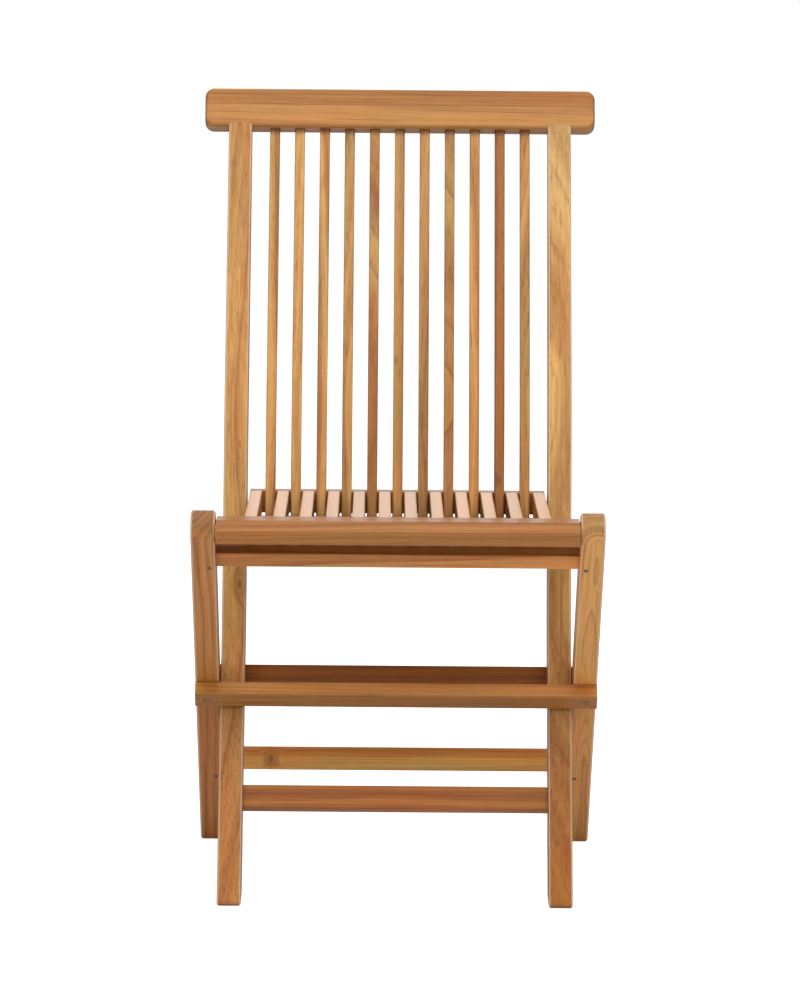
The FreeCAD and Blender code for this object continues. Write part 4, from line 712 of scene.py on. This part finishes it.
class CHAIR_OT_rails(bpy.types.Operator):
    """Finish the top rail, the lower back rail, the apron, the rear stretcher and both stop bars"""

    bl_idname = "chair.rails"
    bl_label = "Rails"

    def execute(self, context):
        dress_teak("top_rail", "across", TOP_RAIL_LEAN, tone=0.8, warmth=0.05, figure=0.35,
                   seam=TOP_RAIL_SEAM)
        dress_teak("lower_back_rail", "across", LOWER_BACK_RAIL_LEAN, tone=0.8)
        # The apron's top face gets painted shade, for the shadow of the seat's front rail above it.
        dress_teak("apron_rail", "across", LEG_LEAN, tone=1.15, warmth=0.15, hidden_top=0.6)
        # The rear stretcher's high tone is partly its own and partly painted light, for light that doesn't
        # reach it at the back.
        dress_teak("rear_stretcher", "across", LEG_LEAN, tone=1.9, warmth=0.03, knots=STRETCHER_KNOTS,
                   seam=REAR_STRETCHER_SEAM)
        # The front stop bar's faces that don't look up get painted shade.
        dress_teak("front_stop_bar", "across", LEG_LEAN, tone=0.92, warmth=0.16, hidden_side=0.62)
        # The rear stop bar's dark red tone is partly its own and partly painted shade, for the shade under
        # the seat.
        dress_teak("rear_stop_bar", "across", STILE_LEAN, tone=0.27, warmth=0.62, polish=-0.25)
        return {"FINISHED"}


class CHAIR_OT_front_stretcher(bpy.types.Operator):
    """Make the low stretcher between the stiles, as slim as in the photograph, with its tenons"""

    bl_idname = "chair.front_stretcher"
    bl_label = "Front Stretcher"

    def execute(self, context):
        settings = context.scene.chair_stretcher
        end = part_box("front_stretcher")[1][0]
        shoulder = end - settings.tenon_length
        body = (settings.top - settings.height, settings.top, -settings.front,
                settings.depth - settings.front, settings.edge)
        tenon = (-settings.tenon_height / 2, settings.tenon_height / 2, -settings.tenon_depth / 2,
                 settings.tenon_depth / 2, settings.edge / 4)
        sections = [(-end, *tenon), (-shoulder, *tenon), (-shoulder, *body), (shoulder, *body),
                    (shoulder, *tenon), (end, *tenon)]
        piece = bar("stretcher_between_stiles", sections, middle_of("front_stretcher"), STILE_LEAN)
        # Its dark red tone is partly its own and partly painted shade, for the shade low under the seat.
        material = teak("front_stretcher", "across", STILE_LEAN, tone=0.62, warmth=0.34)
        finish_piece(piece, "front_stretcher", "back_frame", material)
        return {"FINISHED"}


class CHAIR_OT_back_slats(bpy.types.Operator):
    """Finish the slats of the back, each from its own board"""

    bl_idname = "chair.back_slats"
    bl_label = "Back Slats"

    def execute(self, context):
        for number, (tone, warmth) in enumerate(BACK_SLAT_TINTS, start=1):
            name = f"back_slat_{number:02d}"
            # Each slat's head gets painted shade where it goes into the top rail.
            dress_teak(name, "up", BACK_LEAN, tone=tone, warmth=warmth, figure=1.0,
                       knots=SLAT_KNOTS.get(name, ()), head=SLAT_HEAD, head_reach=SLAT_HEAD_REACH)
        return {"FINISHED"}


class CHAIR_OT_seat(bpy.types.Operator):
    """Finish the seat: its two rails and its slats"""

    bl_idname = "chair.seat"
    bl_label = "Seat"

    def execute(self, context):
        dress_teak("seat_front_rail", "across", SEAT_LEAN + 90, tone=0.58, warmth=0.16, lines=0.7,
                   polish=0.08)
        dress_teak("seat_rear_rail", "across", SEAT_LEAN + 90, tone=0.9)
        draw = np.random.default_rng(SEAT_SEED)
        names = sorted(node for node in NODES if node.startswith("seat_slat_"))
        for name in names:
            # Painted shade on the slats' sides: deep in the slots, and light on the two outer slats.
            side = SEAT_OUTER_SHADE if name in (names[0], names[-1]) else SEAT_SLOT_SHADE
            # Painted sheen on the slats' tops.
            dress_teak(name, "up", SEAT_LEAN, tone=draw.uniform(*SEAT_SLAT_TONES), figure=0.4, lines=0.1,
                       polish=0.02, bleach=0.52, hidden_side=side)
        return {"FINISHED"}


class CHAIR_OT_pegs(bpy.types.Operator):
    """Finish the wooden pegs and plugs, whose end grain shows"""

    bl_idname = "chair.pegs"
    bl_label = "Pegs and Plugs"

    def execute(self, context):
        for name in ("apron_pegs", "stretcher_pegs"):
            dress_teak(name, "up", LEG_LEAN + 90, tone=0.72)
        dress_teak("front_stop_plugs", "up", LEG_LEAN + 90, tone=0.95, warmth=0.12)
        dress_teak("rear_stop_plugs", "up", STILE_LEAN + 90, tone=0.72)
        return {"FINISHED"}


class CHAIR_OT_hardware(bpy.types.Operator):
    """Finish the brass bolts, nuts, washers, pins and screws"""

    bl_idname = "chair.hardware"
    bl_label = "Hardware"

    def execute(self, context):
        metal = brass()
        for name in ("pivot_bolts", "pivot_nuts", "pivot_washers", "seat_pins", "seat_washers",
                     "front_stop_screws", "rear_stop_screws"):
            dress(name, metal)
        return {"FINISHED"}


class CHAIR_OT_stage(bpy.types.Operator):
    """Set up the floor, the light and the camera"""

    bl_idname = "chair.stage"
    bl_label = "Stage"

    def execute(self, context):
        settings = context.scene.chair_stage
        context.scene.view_settings.view_transform = "Standard"
        make_floor(settings)
        make_light(settings)
        make_camera(settings)
        return {"FINISHED"}


def make_floor(settings):
    """A wide flat floor of plain pale paint, which the camera sees lit up as in a light tent."""
    corners = [(-FLOOR_REACH, -FLOOR_REACH, 0), (FLOOR_REACH, -FLOOR_REACH, 0),
               (FLOOR_REACH, FLOOR_REACH, 0), (-FLOOR_REACH, FLOOR_REACH, 0)]
    mesh = bpy.data.meshes.new("floor")
    mesh.from_pydata(corners, [], [(0, 1, 2, 3)])
    floor = bpy.data.objects.new("floor", mesh)
    bpy.context.scene.collection.objects.link(floor)
    material = bpy.data.materials.new("floor")
    nodes = fresh_nodes(material)
    seen = nodes.add("ShaderNodeLightPath").outputs["Is Camera Ray"]
    paint = nodes.add("ShaderNodeBsdfDiffuse", {"Color": opaque(settings.floor)})
    glow = nodes.add("ShaderNodeEmission", {
        "Color": WHITE, "Strength": nodes.math("MULTIPLY", seen, settings.floor_glow)})
    both = nodes.add("ShaderNodeAddShader", {0: paint.outputs[0], 1: glow.outputs[0]})
    nodes.add("ShaderNodeOutputMaterial", {"Surface": both.outputs[0]})
    mesh.materials.append(material)


def make_light(settings):
    """A white room, dimmer as a light than as it looks, with one soft box overhead and one in front."""
    world = bpy.data.worlds.new("studio")
    bpy.context.scene.world = world
    nodes = fresh_nodes(world)
    path = nodes.add("ShaderNodeLightPath").outputs
    seen = nodes.math("MAXIMUM", path["Is Camera Ray"], path["Is Glossy Ray"])
    strength = nodes.ramp(seen, 0, 1, settings.ambient, 1.0, smooth=False)
    sky = nodes.add("ShaderNodeBackground", {"Color": WHITE, "Strength": strength})
    nodes.add("ShaderNodeOutputWorld", {"Surface": sky.outputs[0]})
    soft_box("overhead", settings.overhead, *OVERHEAD_BOX)
    soft_box("fill", settings.fill, *FILL_BOX)


def soft_box(name, power, size, place, target):
    """A wide lamp at a place that faces a target and isn't seen itself."""
    light = bpy.data.lights.new(name, "AREA")
    light.energy = power
    light.shape = "RECTANGLE"
    light.size, light.size_y = size
    lamp = bpy.data.objects.new(name, light)
    lamp.location = place
    lamp.rotation_euler = (Vector(target) - Vector(place)).to_track_quat("-Z", "Y").to_euler()
    lamp.visible_camera = False
    lamp.visible_glossy = False
    bpy.context.scene.collection.objects.link(lamp)


def make_camera(settings):
    """The camera of the photograph: distance, pitch, turn and roll about the middle of the chair."""
    data = bpy.data.cameras.new("camera")
    data.sensor_fit = "VERTICAL"
    data.sensor_height = SENSOR_HEIGHT
    data.lens = settings.focal_pixels / PHOTO_HEIGHT * SENSOR_HEIGHT
    data.clip_end = VIEW_REACH
    target = Vector((settings.target_side, BOLT.y - settings.target_ahead, settings.target_height))
    way = Vector((math.sin(settings.turn) * math.cos(settings.pitch),
                  math.cos(settings.turn) * math.cos(settings.pitch), -math.sin(settings.pitch)))
    camera = bpy.data.objects.new("camera", data)
    camera.matrix_world = (Matrix.Translation(target - way * settings.distance)
                           @ way.to_track_quat("-Z", "Y").to_matrix().to_4x4()
                           @ Matrix.Rotation(settings.roll, 4, "Z"))
    bpy.context.scene.collection.objects.link(camera)
    bpy.context.scene.camera = camera


class CHAIR_PT_panel(bpy.types.Panel):
    """Lists the chair's groups of pieces and its stage"""

    bl_label = "Folding Teak Chair"
    bl_space_type = "VIEW_3D"
    bl_region_type = "UI"
    bl_category = "Chair"

    def draw(self, context):
        for operator in OPERATORS:
            self.layout.operator(operator.bl_idname)


OPERATORS = (CHAIR_OT_stiles, CHAIR_OT_legs, CHAIR_OT_rails, CHAIR_OT_front_stretcher,
             CHAIR_OT_back_slats, CHAIR_OT_seat, CHAIR_OT_pegs, CHAIR_OT_hardware, CHAIR_OT_stage)
CLASSES = (TeakSettings, StretcherSettings, BrassSettings, StageSettings, *OPERATORS, CHAIR_PT_panel)


def register():
    """Register the classes and their settings."""
    for item in CLASSES:
        bpy.utils.register_class(item)
    bpy.types.Scene.chair_teak = PointerProperty(type=TeakSettings)
    bpy.types.Scene.chair_stretcher = PointerProperty(type=StretcherSettings)
    bpy.types.Scene.chair_brass = PointerProperty(type=BrassSettings)
    bpy.types.Scene.chair_stage = PointerProperty(type=StageSettings)


def unregister():
    """Take the classes and their settings away again."""
    del bpy.types.Scene.chair_teak, bpy.types.Scene.chair_stretcher
    del bpy.types.Scene.chair_brass, bpy.types.Scene.chair_stage
    for item in reversed(CLASSES):
        bpy.utils.unregister_class(item)


def main():
    """Dress every piece and set the stage."""
    register()
    bpy.ops.chair.stiles()
    bpy.ops.chair.legs()
    bpy.ops.chair.rails()
    bpy.ops.chair.front_stretcher()
    bpy.ops.chair.back_slats()
    bpy.ops.chair.seat()
    bpy.ops.chair.pegs()
    bpy.ops.chair.hardware()
    bpy.ops.chair.stage()


if __name__ == "__main__":
    main()
